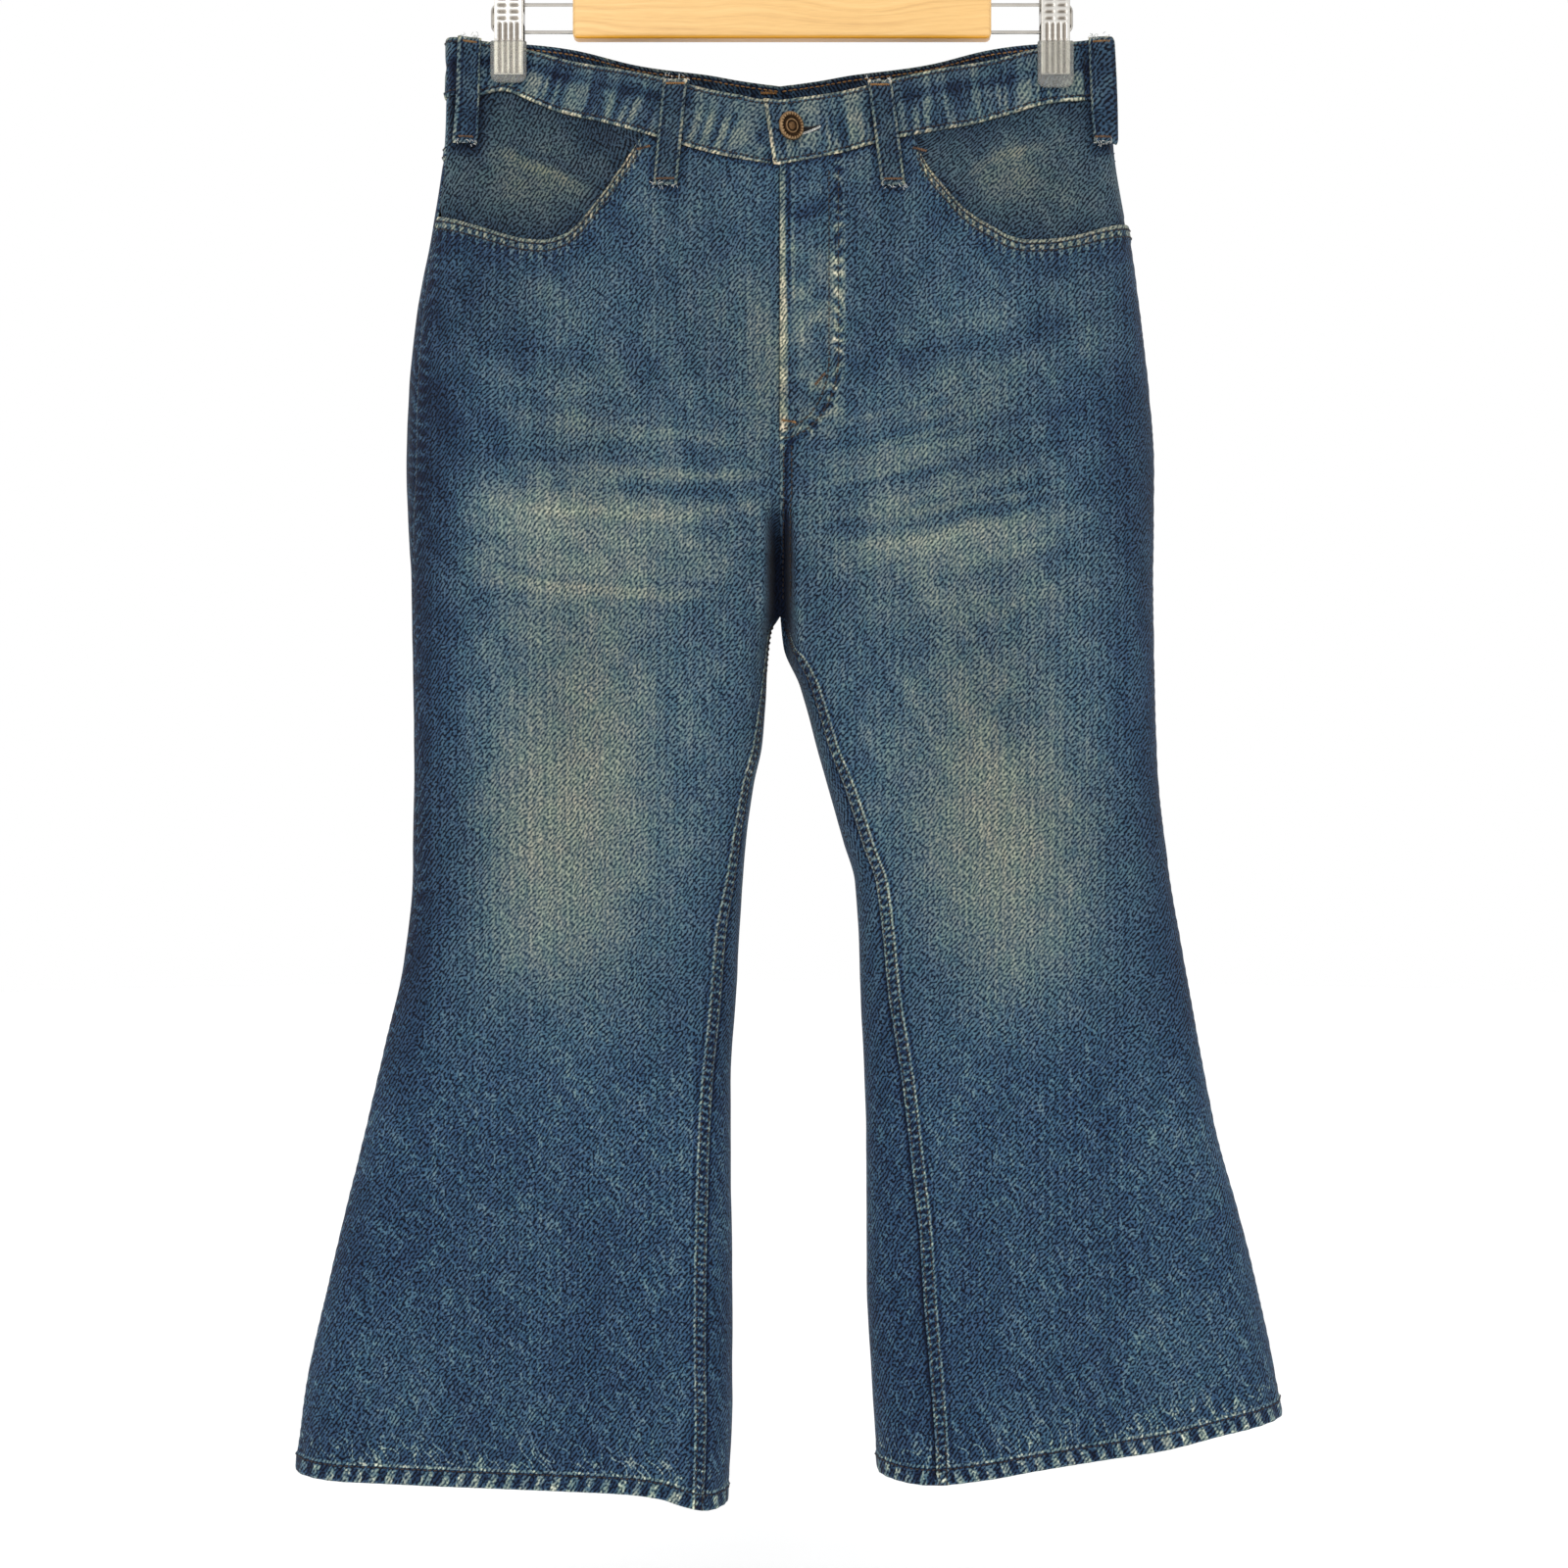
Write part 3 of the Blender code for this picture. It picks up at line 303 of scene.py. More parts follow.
def inner_edge(side, drop):
    """Where the section's inner edge is, past the centre plane above the crotch, where the halves are one."""
    parting = -np.clip((CROTCH - drop) / CLEFT, 0, 1) * SECTION["inner_round"](drop)
    return np.where(drop < CROTCH, parting, INNER_LEG[side](drop))


def round_edge(share):
    """A quarter round: 0 at the edge, 1 where the flat begins."""
    share = np.clip(share, 0, 1)
    return np.sqrt(share * (2 - share))


def folded(around):
    """The place as 0 to 1 from the outer to the inner end, and whether it is on the front."""
    wrapped = np.abs(around) > 1
    return np.where(wrapped, 2 - np.abs(around), np.abs(around)), (around >= 0) != wrapped


def across_at(side, around, drop):
    """Distance from the centre plane of a place around the half."""
    place, _ = folded(around)
    outer, inner_round = OUTER[side](drop), SECTION["inner_round"](drop)
    side_round = SECTION["side_round"](drop)
    end = np.maximum(inner_edge(side, drop), 0.0)
    flat = outer - side_round
    edge = outer - side_round * (1 - np.cos(np.minimum(place / OUTER_SHARE, 1) * math.pi / 2))
    share = np.clip((place - OUTER_SHARE) / (1 - OUTER_SHARE), 0, 1)
    hip = flat + (end - flat) * share
    turn = 1 - INNER_SHARE / (1 - OUTER_SHARE)
    leg = np.where(
        share < turn,
        flat + (end + inner_round - flat) * share / turn,
        end + inner_round * (1 - np.cos(np.clip((1 - share) / (1 - turn), 0, 1) * math.pi / 2)),
    )
    parted = rise(drop, CROTCH - LEG_BLEND, LEG_BLEND)
    return np.where(place < OUTER_SHARE, edge, hip + (leg - hip) * parted)


def around_at(side, face, across, drop):
    """The place around the half of a point on the front or back, found by halving."""
    across, drop = np.broadcast_arrays(np.asarray(across, float), np.asarray(drop, float))
    low, high = np.zeros(across.shape), np.ones(across.shape)
    halvings = 30
    for _ in range(halvings):
        middle = (low + high) / 2
        outside = across_at(side, middle, drop) > across
        low, high = np.where(outside, middle, low), np.where(outside, high, middle)
    return low if face == "front" else -low


def fold_height(side, face, across, drop):
    height = np.zeros(np.broadcast(across, drop).shape)
    for x0, drop0, x1, drop1, half_width, stands in FOLDS[side, face]:
        along, beside = beside_line(across, drop, x0, drop0, x1, drop1)
        height = height + stands * arch(along) * bell(beside, half_width)
    return height


def cleft(across, drop):
    """How deep the front sinks between the legs just above where they part, as a share of its depth."""
    return CLEFT_SHARE * bell(across, CLEFT_HALF, 4) * rise(drop, CLEFT_TOP, CLEFT_RUN)


def cloth_point(side, around, drop):
    """Points of the cloth's surface, as x, y, z."""
    _, front = folded(around)
    across = across_at(side, around, drop)
    outer_share = (OUTER[side](drop) - across) / SECTION["side_round"](drop)
    inner_share = (across - inner_edge(side, drop)) / SECTION["inner_round"](drop)
    rounding = round_edge(outer_share) * round_edge(inner_share)
    from_clip = across - CLIP_ACROSS[side]
    reach = np.where(from_clip < 0, PINCH_INSIDE, PINCH_OUTSIDE)
    pinched = 1 - SECTION["pinch"](drop) * bell(from_clip, reach, 4)
    front_y = -SECTION["front"](drop) * pinched - fold_height(side, "front", across, drop)
    back_y = SECTION["back"](drop) * pinched + fold_height(side, "back", across, drop)
    y = np.where(front, front_y * (1 - cleft(across, drop)), back_y) * rounding
    return np.stack(np.broadcast_arrays(side * across, y, WAIST_TOP - drop), -1)


def cloth_normal(side, around, drop):
    """Unit normals of the surface, facing out."""
    place_step, drop_step = 1e-3, 0.2
    last = np.where(drop < CROTCH, 1.0, 2.0)
    ahead = np.minimum(around + place_step, last)
    behind = np.maximum(around - place_step, -last)
    along = cloth_point(side, ahead, drop) - cloth_point(side, behind, drop)
    down = cloth_point(side, around, drop + drop_step) - cloth_point(side, around, drop - drop_step)
    normal = side * np.cross(along, down)
    return normal / np.linalg.norm(normal, axis=-1, keepdims=True)


def walk(side, around, drop, distance):
    """The place that is this far along the surface, at the same drop."""
    steps, place_step = 6, 1e-3
    for _ in range(steps):
        ahead = cloth_point(side, around + place_step, drop) - cloth_point(side, around - place_step, drop)
        around = around + distance / steps * 2 * place_step / np.linalg.norm(ahead, axis=-1)
    return around


# ---------------------------------------------------------------- seams and edges
WAIST_LINE = {"front": smooth(FRONT_WAIST), "back": smooth(BACK_WAIST)}
FRONT_BAND_LINE, BACK_BAND_LINE = smooth_sides(FRONT_BAND_SEAM), smooth(BACK_BAND_SEAM)
SCOOP_LINE, YOKE_LINE, HEM = smooth_sides(SCOOP), smooth(YOKE_SEAM), smooth_sides(HEM_LINE)
SCOOP_START = {side: rows[0][0] for side, rows in SCOOP.items()}
OUTSEAM_INSET, INSEAM_INSET = smooth_sides(OUTSEAM), smooth_sides(INSEAM)
SEAM_DROPS = np.arange(0.0, 901.0, 2.0)


def seam_places(side):
    """The outseam's and the inseam's places around the half at each of SEAM_DROPS."""
    inset = OUTSEAM_INSET[side](SEAM_DROPS)
    outer = around_at(side, "front", OUTER[side](SEAM_DROPS) - np.abs(inset), SEAM_DROPS)
    inner = inner_edge(side, SEAM_DROPS) + INSEAM_INSET[side](SEAM_DROPS)
    inner = around_at(side, "front", inner, SEAM_DROPS)
    return np.sign(inset) * outer, np.where(SEAM_DROPS <= CROTCH, 1.0, inner)


SEAM_PLACES = {side: seam_places(side) for side in SIDES.values()}


def outseam(side, drop):
    return np.interp(drop, SEAM_DROPS, SEAM_PLACES[side][0])


def inseam(side, drop):
    """The front panel's inner edge: the centre seam, and below the crotch the inseam."""
    return np.interp(drop, SEAM_DROPS, SEAM_PLACES[side][1])


def band_seam(side, face, across):
    return (FRONT_BAND_LINE[side] if face == "front" else BACK_BAND_LINE)(across)


def scoop_line(side, across):
    """The front panel's top edge: the band seam, then the pocket's scoop."""
    seam = band_seam(side, "front", across)
    return np.where(across < SCOOP_START[side], seam, np.maximum(seam, SCOOP_LINE[side](across)))


def fly_lift(side, across, drop):
    """How far the fly's layers raise the right front panel: straight, then curving in to the centre."""
    if side == LEFT:
        return 0.0 * across
    curve = np.clip((drop - FLY_STRAIGHT) / (FLY_END - FLY_STRAIGHT), 0, 1)
    edge = FLY_WIDTH * np.sqrt(1 - curve**2)
    return FLY_LIFT * (eased((edge + 3 - across) / 8) * eased((FLY_END - drop) / 14))


def fly_distance(across, drop):
    """Distance from the fly's outer line of stitching: straight, then a curve in to the centre."""
    straight = np.abs(across - FLY_STITCH)
    turn = np.hypot(across / FLY_STITCH, (drop - FLY_STRAIGHT) / (FLY_END - FLY_STRAIGHT))
    return np.where(drop < FLY_STRAIGHT, straight, np.abs(turn - 1) * FLY_STITCH)


# ---------------------------------------------------------------- walls of cloth
# A patch is a side with the places and drops of its points, a row of the arrays for each column of cloth.
def patch_between(side, start, end, columns, spans):
    """Columns at shares of the way from the start seam to the end seam, down spans (top, bottom, shares)."""
    column = np.asarray(columns)[:, None]
    first_drop, rounds = 400.0, 8
    places, drops = [], []
    for top, bottom, shares in spans:
        drop = np.full((len(column), len(shares)), first_drop)
        for _ in range(rounds):
            place = start(drop) + (end(drop) - start(drop)) * column
            across = across_at(side, place, drop)
            drop = top(across) + (bottom(across) - top(across)) * shares
        places.append(start(drop) + (end(drop) - start(drop)) * column)
        drops.append(drop)
    return side, np.hstack(places), np.hstack(drops)


def patch_across(side, face, across, top, bottom, shares):
    """Columns at given distances from the centre plane."""
    across = np.asarray(across, float)
    across = across if across.ndim == 2 else across[:, None] + 0 * shares
    drop = top(across) + (bottom(across) - top(across)) * shares
    return side, around_at(side, face, across, drop), drop


def level(value):
    """A line or seam that stays at one value."""
    return lambda at: np.full(np.shape(at), float(value))


def rows_after(count):
    """Shares down a span of rows that goes on from the span above it."""
    return np.linspace(0, 1, count)[1:]


def spaced(*runs):
    """Shares from runs of (start, end, count), each shared end given once."""
    pieces = [np.linspace(start, end, count, endpoint=False) for start, end, count in runs]
    return np.concatenate([*pieces, [runs[-1][1]]])


PANEL_ACROSS = spaced((0, 0.07, 12), (0.07, 0.93, 76), (0.93, 1, 12))


def leg_patch(side, inner, upper, leg_rows):
    """A leg panel from the outseam to an inner seam: its own upper spans, then the leg and the hem."""
    def over_hem(across):
        return HEM[side](across) - HEM_ROWS

    leg = [
        (level(SHARED_DROP), level(CROTCH), rows_after(98)),
        (level(CROTCH), over_hem, rows_after(leg_rows)),
        (over_hem, HEM[side], rows_after(16)),
    ]
    return patch_between(side, partial(outseam, side), inner, PANEL_ACROSS, upper + leg)


def panel_inside(side, across, drop):
    """Where a leg panel's inner skin lies: deeper behind the turned hem."""
    in_hem = rise(drop - HEM[side](across), -HEM_DEPTH, 0.5)
    return -DENIM - (HEM_IN - DENIM) * in_hem


# ---------------------------------------------------------------- creases and fades, in mm
# Creases stand over (+) or under (-) the cloth; the raised ones rub pale along their tops and the sunk ones
# are darker.
# Each row: x0, drop0, x1, drop1, bend, half width, height, paleness (+) or darkness (-), warmth.
CREASES = {
    (LEFT, "front"): (
        (150, 201, 60, 216, 4, 6, 0.5, 0.06, 0.1), (214, 222, 6, 247, 8, 6, 0.8, 0.08, 0.1),
        (95, 268, 4, 267, 3, 5, 0.6, 0.07, 0.1), (205, 266, 30, 287, 12, 7, 0.9, 0.07, 0.1),
        (190, 306, 30, 318, 6, 9, -0.7, -0.07, 0.0), (196, 322, 55, 339, 7, 5, 0.8, 0.07, 0.1),
        (190, 342, 90, 356, 5, 8, -0.6, -0.04, 0.0), (97, 239, 2, 253, 2, 2.6, 0.4, 0.10, 0.1),
        (122, 265, 1, 270, 2, 2.6, 0.4, 0.10, 0.1), (180, 283, 4, 287, 9, 3.2, 0.5, 0.16, 0.1),
        (172, 325, 28, 342, 5, 3.0, 0.5, 0.15, 0.1), (183, 316, 100, 338, 2, 3.2, -0.5, -0.16, 0.0),
        (110, 276, 3, 279, 1, 4, -0.4, -0.12, 0.0), (200, 178, 60, 204, 6, 8, -0.4, -0.07, 0.0),
        (206, 198, 80, 224, 6, 7, 0.4, 0.06, 0.0), (26, 150, 6, 176, 2, 3, 0.4, 0.05, 0.1),
        (40, 226, 10, 232, 1, 4, 0.4, 0.06, 0.1), (120, 96, 96, 150, 6, 7, -0.6, -0.05, 0.0),
        (178, 62, 104, 100, 2, 4, 0.7, 0.12, 0.1), (174, 56, 112, 88, 2, 4, -0.5, -0.14, 0.0),
        (112, 66, 96, 96, 2, 4, 0.4, 0.10, 0.0), (160, 150, 90, 216, -8, 7, 0.4, 0.05, 0.1),
        (206, 420, 150, 500, -6, 9, 0.6, 0.03, 0.0), (214, 560, 180, 640, 4, 9, 0.5, 0.02, 0.0),
    ),
    (RIGHT, "front"): (
        (172, 60, 112, 84, -2, 4, 0.5, 0.10, 0.1), (26, 241, 107, 216, 3, 2.6, 0.4, 0.10, 0.1),
        (21, 259, 135, 229, 4, 2.6, 0.4, 0.10, 0.1), (12, 275, 117, 257, 3, 2.6, 0.4, 0.09, 0.1),
        (14, 295, 171, 275, 5, 3.0, 0.4, 0.12, 0.1), (18, 313, 171, 284, 8, 3.0, 0.5, 0.14, 0.1),
        (16, 304, 165, 280, 6, 3.6, -0.4, -0.10, 0.0), (34, 190, 200, 150, 6, 7, 0.4, 0.06, 0.0),
        (30, 207, 206, 166, 6, 7, -0.4, -0.08, 0.0), (34, 224, 208, 183, 6, 6, 0.4, 0.06, 0.0),
        (12, 236, 26, 210, 0, 3, 0.5, 0.14, 0.3), (8, 238, 25, 215, 0, 2.6, -0.6, -0.18, 0.0),
        (6, 252, 44, 228, 3, 3.5, 0.5, 0.05, 0.0), (152, 350, 104, 466, 0, 2.2, 0.3, 0.05, 0.0),
        (34, 239, 190, 196, 10, 6, 0.7, 0.07, 0.1), (8, 262, 120, 246, 6, 6, 0.8, 0.09, 0.1),
        (30, 288, 180, 252, 9, 7, 0.8, 0.08, 0.1), (30, 299, 170, 270, 8, 7, -0.7, -0.06, 0.0),
        (50, 313, 186, 290, 8, 9, 0.9, 0.06, 0.0), (60, 334, 180, 316, 6, 8, -0.6, -0.04, 0.0),
        (90, 352, 200, 330, 5, 7, 0.5, 0.06, 0.1), (200, 168, 90, 214, 8, 8, 0.5, 0.05, 0.1),
        (84, 396, 130, 500, -8, 9, 0.4, 0.0, 0.0), (196, 470, 150, 560, 6, 9, 0.5, 0.03, 0.0),
        (110, 560, 96, 650, 4, 8, -0.4, -0.02, 0.0),
    ),
    (LEFT, "back"): (
        (30, 300, 190, 312, 10, 6, 1.0, 0.12, 0.2), (20, 326, 170, 352, 12, 7, 1.1, 0.13, 0.2),
        (40, 460, 200, 474, 8, 6, 0.9, 0.13, 0.2), (50, 498, 196, 492, -6, 6, 0.8, 0.11, 0.2),
        (60, 530, 190, 522, 5, 7, -0.8, -0.06, 0.0),
    ),
    (RIGHT, "back"): (
        (26, 306, 186, 320, 9, 6, 1.0, 0.12, 0.2), (20, 334, 150, 372, 10, 7, 1.1, 0.13, 0.2),
        (50, 466, 206, 462, 8, 6, 0.9, 0.13, 0.2), (62, 500, 205, 508, -6, 6, 0.8, 0.11, 0.2),
        (70, 536, 200, 530, 5, 7, -0.8, -0.06, 0.0),
    ),
}
# Worn areas, each row: middle x and drop, half width, half height, lean of the middle line,
# how pale and how beige.
FADES = {
    (LEFT, "front"): (
        (156, 290, 42, 24, 0.0, 0.16, 0.0), (128, 312, 64, 34, 0.0, 0.23, 0.0),
        (122, 400, 50, 104, 0.02, 0.12, 0.12), (114, 410, 84, 140, 0.0, 0.08, 0.0),
        (134, 512, 54, 78, 0.05, 0.11, 0.08), (132, 500, 66, 100, 0.05, 0.11, 0.0),
        (28, 190, 40, 60, 0.0, 0.06, 0.1), (8, 200, 16, 54, 0.0, 0.14, 0.1),
        (140, 160, 40, 24, 0.3, 0.07, 0.1), (60, 300, 60, 70, 0.0, 0.03, 0.0),
    ),
    (RIGHT, "front"): (
        (112, 312, 62, 34, -0.1, 0.17, 0.0), (60, 280, 60, 60, 0.0, 0.03, 0.0),
        (122, 410, 58, 100, -0.05, 0.10, 0.1), (136, 510, 52, 68, 0.04, 0.15, 0.04),
        (140, 500, 56, 86, 0.04, 0.08, 0.06), (144, 580, 40, 30, 0.0, 0.05, 0.0),
        (165, 160, 50, 40, 0.0, 0.05, 0.0), (100, 410, 80, 130, 0.0, 0.05, 0.0),
    ),
    (LEFT, "back"): (
        (100, 230, 70, 70, 0.0, 0.14, 0.3), (120, 480, 60, 60, 0.0, 0.10, 0.3),
    ),
    (RIGHT, "back"): (
        (100, 230, 70, 70, 0.0, 0.14, 0.3), (130, 480, 60, 60, 0.0, 0.10, 0.3),
    ),
}
# Where the cloth changes down the legs, each a drop and the length of the change: the fine creases calm,
# the warm cast goes, the fading and the darkening by the side seam turn to those of the flare, and the foot
# darkens.
CALM_FROM, COOL_FROM, FLARE_FROM, FOOT_FROM = (420, 160), (560, 120), (540, 130), (840, 30)
WHISKERS_DOWN, WHISKERS_ACROSS = (215, 345, 50), (2, 190, 60)  # their zone: start, end, softness
WHISKER_SLOPE = {LEFT: 0.06, RIGHT: 0.21}
STREAK_COSINE, STREAK_SINE = 0.87, 0.5  # of the slant of the finest streaks
SIDE_REACH = 38  # how far from the outseam the cloth is darker
FULL_WEAR, PAST_FULL = 0.22, 0.55  # past this, more rubbing pales the cloth less, by this share
GRAIN_ACROSS = 120.0  # where the straight grain runs down each leg
LEG_DROP = 400.0  # only pieces that reach below this have a leg's grain line
NEAR = 20.0  # reach of the attributes that say how near an edge is
LATTICE_SIZE, LATTICE_LAYERS = 61, 6
LATTICE = np.random.default_rng(11).uniform(-1, 1, (LATTICE_LAYERS, LATTICE_SIZE, LATTICE_SIZE))


def noise(x, y=0.0, layer=0):
    """Smooth noise from -1 to 1 over a plane."""
    i, j = np.floor(x).astype(int), np.floor(y).astype(int)
    s, t = eased(x - i), eased(y - j)
    rows, columns = ((i % LATTICE_SIZE, (i + 1) % LATTICE_SIZE), (j % LATTICE_SIZE, (j + 1) % LATTICE_SIZE))
    values = [[LATTICE[layer][row, column] for column in columns] for row in rows]
    near, far = (row[0] + (row[1] - row[0]) * t for row in values)
    return near + (far - near) * s


def window(value, low, high, soft):
    """1 between two values and 0 outside, with soft ends."""
    return eased((value - low) / soft + 0.5) * eased((high - value) / soft + 0.5)


def loop_shade(side, across, drop):
    """How much the belt loops shade the cloth of the front beside and below them."""
    shade = np.zeros(np.broadcast(across, drop).shape)
    for _, loop_side, top, bottom in BELT_LOOPS:
        if loop_side == side:
            share = (drop - WAIST_LINE["front"](across)) / LOOP_LENGTH
            beside = np.abs(across - top - (bottom - top) * share) - LOOP_WIDTH / 2
            shade = shade + bell(np.maximum(beside, 0), 3) * window(share, 0.0, 1.06, 0.1)
    return shade


def creases(side, front, across, drop):
    """Height, paleness and warmth that the creases, ripples and worn areas give the cloth, with the painted
    shadow of the belt loops beside and below them.
    """
    height = 0.35 * noise(across / 31, drop / 37, 0) + 0.12 * noise(across / 9, drop / 13, 1)
    upper = 1 - 0.6 * rise(drop, *CALM_FROM)
    slant = side * across * STREAK_COSINE - drop * STREAK_SINE
    down = side * across * STREAK_SINE + drop * STREAK_COSINE
    wear = 0.05 * noise(across / 38, drop / 61, 2) + upper * 0.05 * noise(across / 11, drop / 17, 3)
    wear = wear + upper * 0.06 * noise(slant / 7, down / 24, 5)
    # Painted shadow of the belt loops: the cloth beside and below each one is darkened.
    wear = wear - 0.20 * front * loop_shade(side, across, drop)
    tilted = drop + WHISKER_SLOPE[side] * across
    whiskers = noise(tilted / 6.5, across / 80, 0) + 0.6 * noise(tilted / 3.8, across / 45, 2)
    whiskers = whiskers * window(drop, *WHISKERS_DOWN) * window(across, *WHISKERS_ACROSS) * front
    height = height + 0.3 * whiskers
    wear = wear + 0.045 * whiskers
    warm = 0.36 - 0.32 * rise(drop, *COOL_FROM) + 0.10 * noise(across / 60, drop / 80, 4)
    wander = 2.5 * noise(across / 23, drop / 29, 5)
    ragged = 1 + 0.08 * noise(across / 19, drop / 33, 1) + 0.06 * noise(across / 5, drop / 11, 4)
    for face in FACES:
        on_face = front == (face == "front")
        for x0, drop0, x1, drop1, bend, half_width, stands, pales, warms in CREASES[side, face]:
            along, beside = beside_line(across, drop, x0, drop0, x1, drop1)
            beside = beside * np.sign(x1 - x0) - bend * arch(along) + wander
            width = half_width * (1 + 0.3 * noise(along * 5, drop0, 2))
            shape = arch(along) ** 0.7 * on_face * bell(beside, width)
            height = height + stands * shape
            wear = wear + pales * shape
            warm = warm + 0.4 * warms * shape
        for x, middle, half_x, half_drop, lean, pales, warms in FADES[side, face]:
            beside = (across - x - lean * (drop - middle)) / half_x
            below = (drop - middle) / half_drop
            shape = np.exp(-((beside * beside + below * below) ** 1.2)) * ragged * on_face
            wear = wear + pales * shape
            warm = warm + warms * shape
    return height, wear - PAST_FULL * np.maximum(wear - FULL_WEAR, 0), warm


def run_length(points, axis):
    """Distance along each line of points from its first point."""
    steps = np.linalg.norm(np.diff(points, axis=axis), axis=-1)
    return np.insert(np.cumsum(steps, axis=axis), 0, 0.0, axis=axis)


def cloth_grid(patches):
    """The patches' surface points with their normals, places and distances along and down, in mm."""
    parts = []
    for side, around, drop in patches:
        _, front = folded(around)
        across = across_at(side, around, drop)
        parts.append(
            (
                cloth_point(side, around, drop),
                cloth_normal(side, around, drop),
                across,
                drop,
                *creases(side, front, across, drop),
                np.full(drop.shape, side),
            )
        )
    names = ("point", "normal", "across", "drop", "height", "wear", "warm", "side")
    grid = SimpleNamespace(**{name: np.concatenate(arrays) for name, arrays in zip(names, zip(*parts))})
    grid.from_start = run_length(grid.point, 0)
    grid.from_end = grid.from_start[-1] - grid.from_start
    grid.level = run_length(grid.point[..., :2], 0)
    grid.from_top = run_length(grid.point, 1)
    grid.from_bottom = grid.from_top[:, -1:] - grid.from_top
    grid.near = {}
    grid.crackle = np.zeros(grid.drop.shape)
    grid.beat = np.zeros(grid.drop.shape)
    return grid


def grain_line(grid):
    """For each row, how far along it the leg's straight grain line is."""
    if grid.drop.max() < LEG_DROP:
        return grid.level[len(grid.drop) // 2]
    rows = zip(grid.across.T, grid.level.T)
    return np.array([np.interp(-GRAIN_ACROSS, -across, run) for across, run in rows])


def near(distance):
    return np.clip(1 - distance / NEAR, 0, 1)


def show(name, data):
    """A new object of the scene."""
    made = bpy.data.objects.new(name, data)
    bpy.context.scene.collection.objects.link(made)
    return made


def quad_mesh(name, points, faces, material, uv=None, fields=None):
    """A smooth mesh from points in mm and quads, with UVs in metres and named values for each point."""
    data = bpy.data.meshes.new(name)
    data.vertices.add(len(points))
    data.vertices.foreach_set("co", (points * MM).ravel())
    data.loops.add(faces.size)
    data.loops.foreach_set("vertex_index", faces.ravel())
    data.polygons.add(len(faces))
    data.polygons.foreach_set("loop_start", np.arange(0, faces.size, 4))
    data.update(calc_edges=True)
    data.validate()
    if uv is not None:
        layer = data.uv_layers.new(name="cloth")
        layer.data.foreach_set("uv", (uv[faces.ravel()] * MM).ravel())
    for field, values in (fields or {}).items():
        data.attributes.new(field, "FLOAT", "POINT").data.foreach_set("value", values)
    data.shade_smooth()
    data.materials.append(material)
    made = show(name, data)
    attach(made, "root")
    return made


def closed_faces(columns, rows):
    """Quads of a closed shell: a sheet of points, another turned over under it, and a strip round the rim."""
    index = np.arange(columns * rows).reshape(columns, rows)
    count = columns * rows
    quads = np.stack([index[:-1, :-1], index[1:, :-1], index[1:, 1:], index[:-1, 1:]], -1).reshape(-1, 4)
    rim = np.concatenate([index[:, 0], index[-1, 1:], index[-2::-1, -1], index[0, -2:0:-1]])
    turned = np.roll(rim, -1)
    strip = np.stack([turned, rim, rim + count, turned + count], -1)
    return np.concatenate([quads, quads[:, ::-1] + count, strip])


def shell(name, grid, outer, inner, inside=1.0, rolled=0.45, under_wear=0.0):
    """A thin closed shell of denim whose two skins stand off the surface by `outer` and `inner`."""
    outer = np.broadcast_to(outer, grid.drop.shape).copy()
    inner = np.broadcast_to(inner, grid.drop.shape).copy()
    for edge, amount in ((0, rolled), (1, rolled / 4)):
        for line in (np.s_[edge, :], np.s_[-1 - edge, :], np.s_[:, edge], np.s_[:, -1 - edge]):
            outer[line] -= amount
            inner[line] += amount / 2
    grid.skin = grid.point + grid.normal * outer[..., None]
    under = grid.point + grid.normal * inner[..., None]
    reach, gap = 0.5, 0.1  # points this near the centre plane stop this far short of it
    meets = (np.abs(grid.point[-1, :, 0]) < reach) & (grid.drop[-1] < CROTCH)
    for skin in (grid.skin, under):
        skin[-1, meets, 0] = -gap * grid.side[-1, meets]
    columns, rows = grid.drop.shape
    count = columns * rows
    faces = closed_faces(columns, rows)
    middle = faces[(columns - 1) * (rows - 1) // 2]
    corner = grid.skin.reshape(-1, 3)[middle]
    facing = np.cross(corner[1] - corner[0], corner[2] - corner[0]) @ grid.normal.reshape(-1, 3)[middle[0]]
    if facing < 0:
        faces = faces[:, ::-1]
    along = -np.sign(facing) * (grid.level - grain_line(grid))
    uv = np.stack([along, grid.drop], -1).reshape(-1, 2)
    fields = {"wear": grid.wear, "warm": grid.warm, "crackle": grid.crackle, "beat": grid.beat, **grid.near}
    fields = {field: np.tile(values.ravel(), 2) for field, values in fields.items()}
    # Painted shade on the inner skin, darker by this much.
    fields["wear"][count:] += under_wear
    fields["inside"] = np.repeat([0.0, inside], count)
    points = np.concatenate([grid.skin.reshape(-1, 3), under.reshape(-1, 3)])
    return quad_mesh(name, points, faces, DENIM_LOOK, np.tile(uv, (2, 1)), fields)


def sheet(made, node, width, length, share, rests_on="waistband"):
    """Hide the CAD part of a piece of hanging cloth cut from width by length in mm, of which the cut is this
    share; that size is worked out and not used.
    """
    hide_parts(node)
    flat = (width * MM, length * MM)
    flat[0] * flat[1] * share


# ---------------------------------------------------------------- panels and pockets
def leg_wear(grid):
    """The panels' ordinary fading: paler over the thigh, darker by the side seam and down the flare. The
    darkening by the side seam is partly painted shade, where the leg turns away.
    """
    lower = rise(grid.drop, *FLARE_FROM)
    grid.wear += 0.08 - 0.062 * lower
    # Partly painted shade: darker near the outseam, where the leg rounds away from the front.
    grid.wear -= 0.26 * bell(grid.from_start, SIDE_REACH) * (1 - 0.7 * lower)
    grid.wear -= 0.04 * rise(grid.drop, *FOOT_FROM)
    grid.crackle = lower * 0.8 + 0.15


def below_crotch(grid):
    """1 on the legs, where the inner end is an inseam, and 0 over the crotch, where it is the centre seam."""
    return rise(grid.drop, CROTCH - 6, 12)


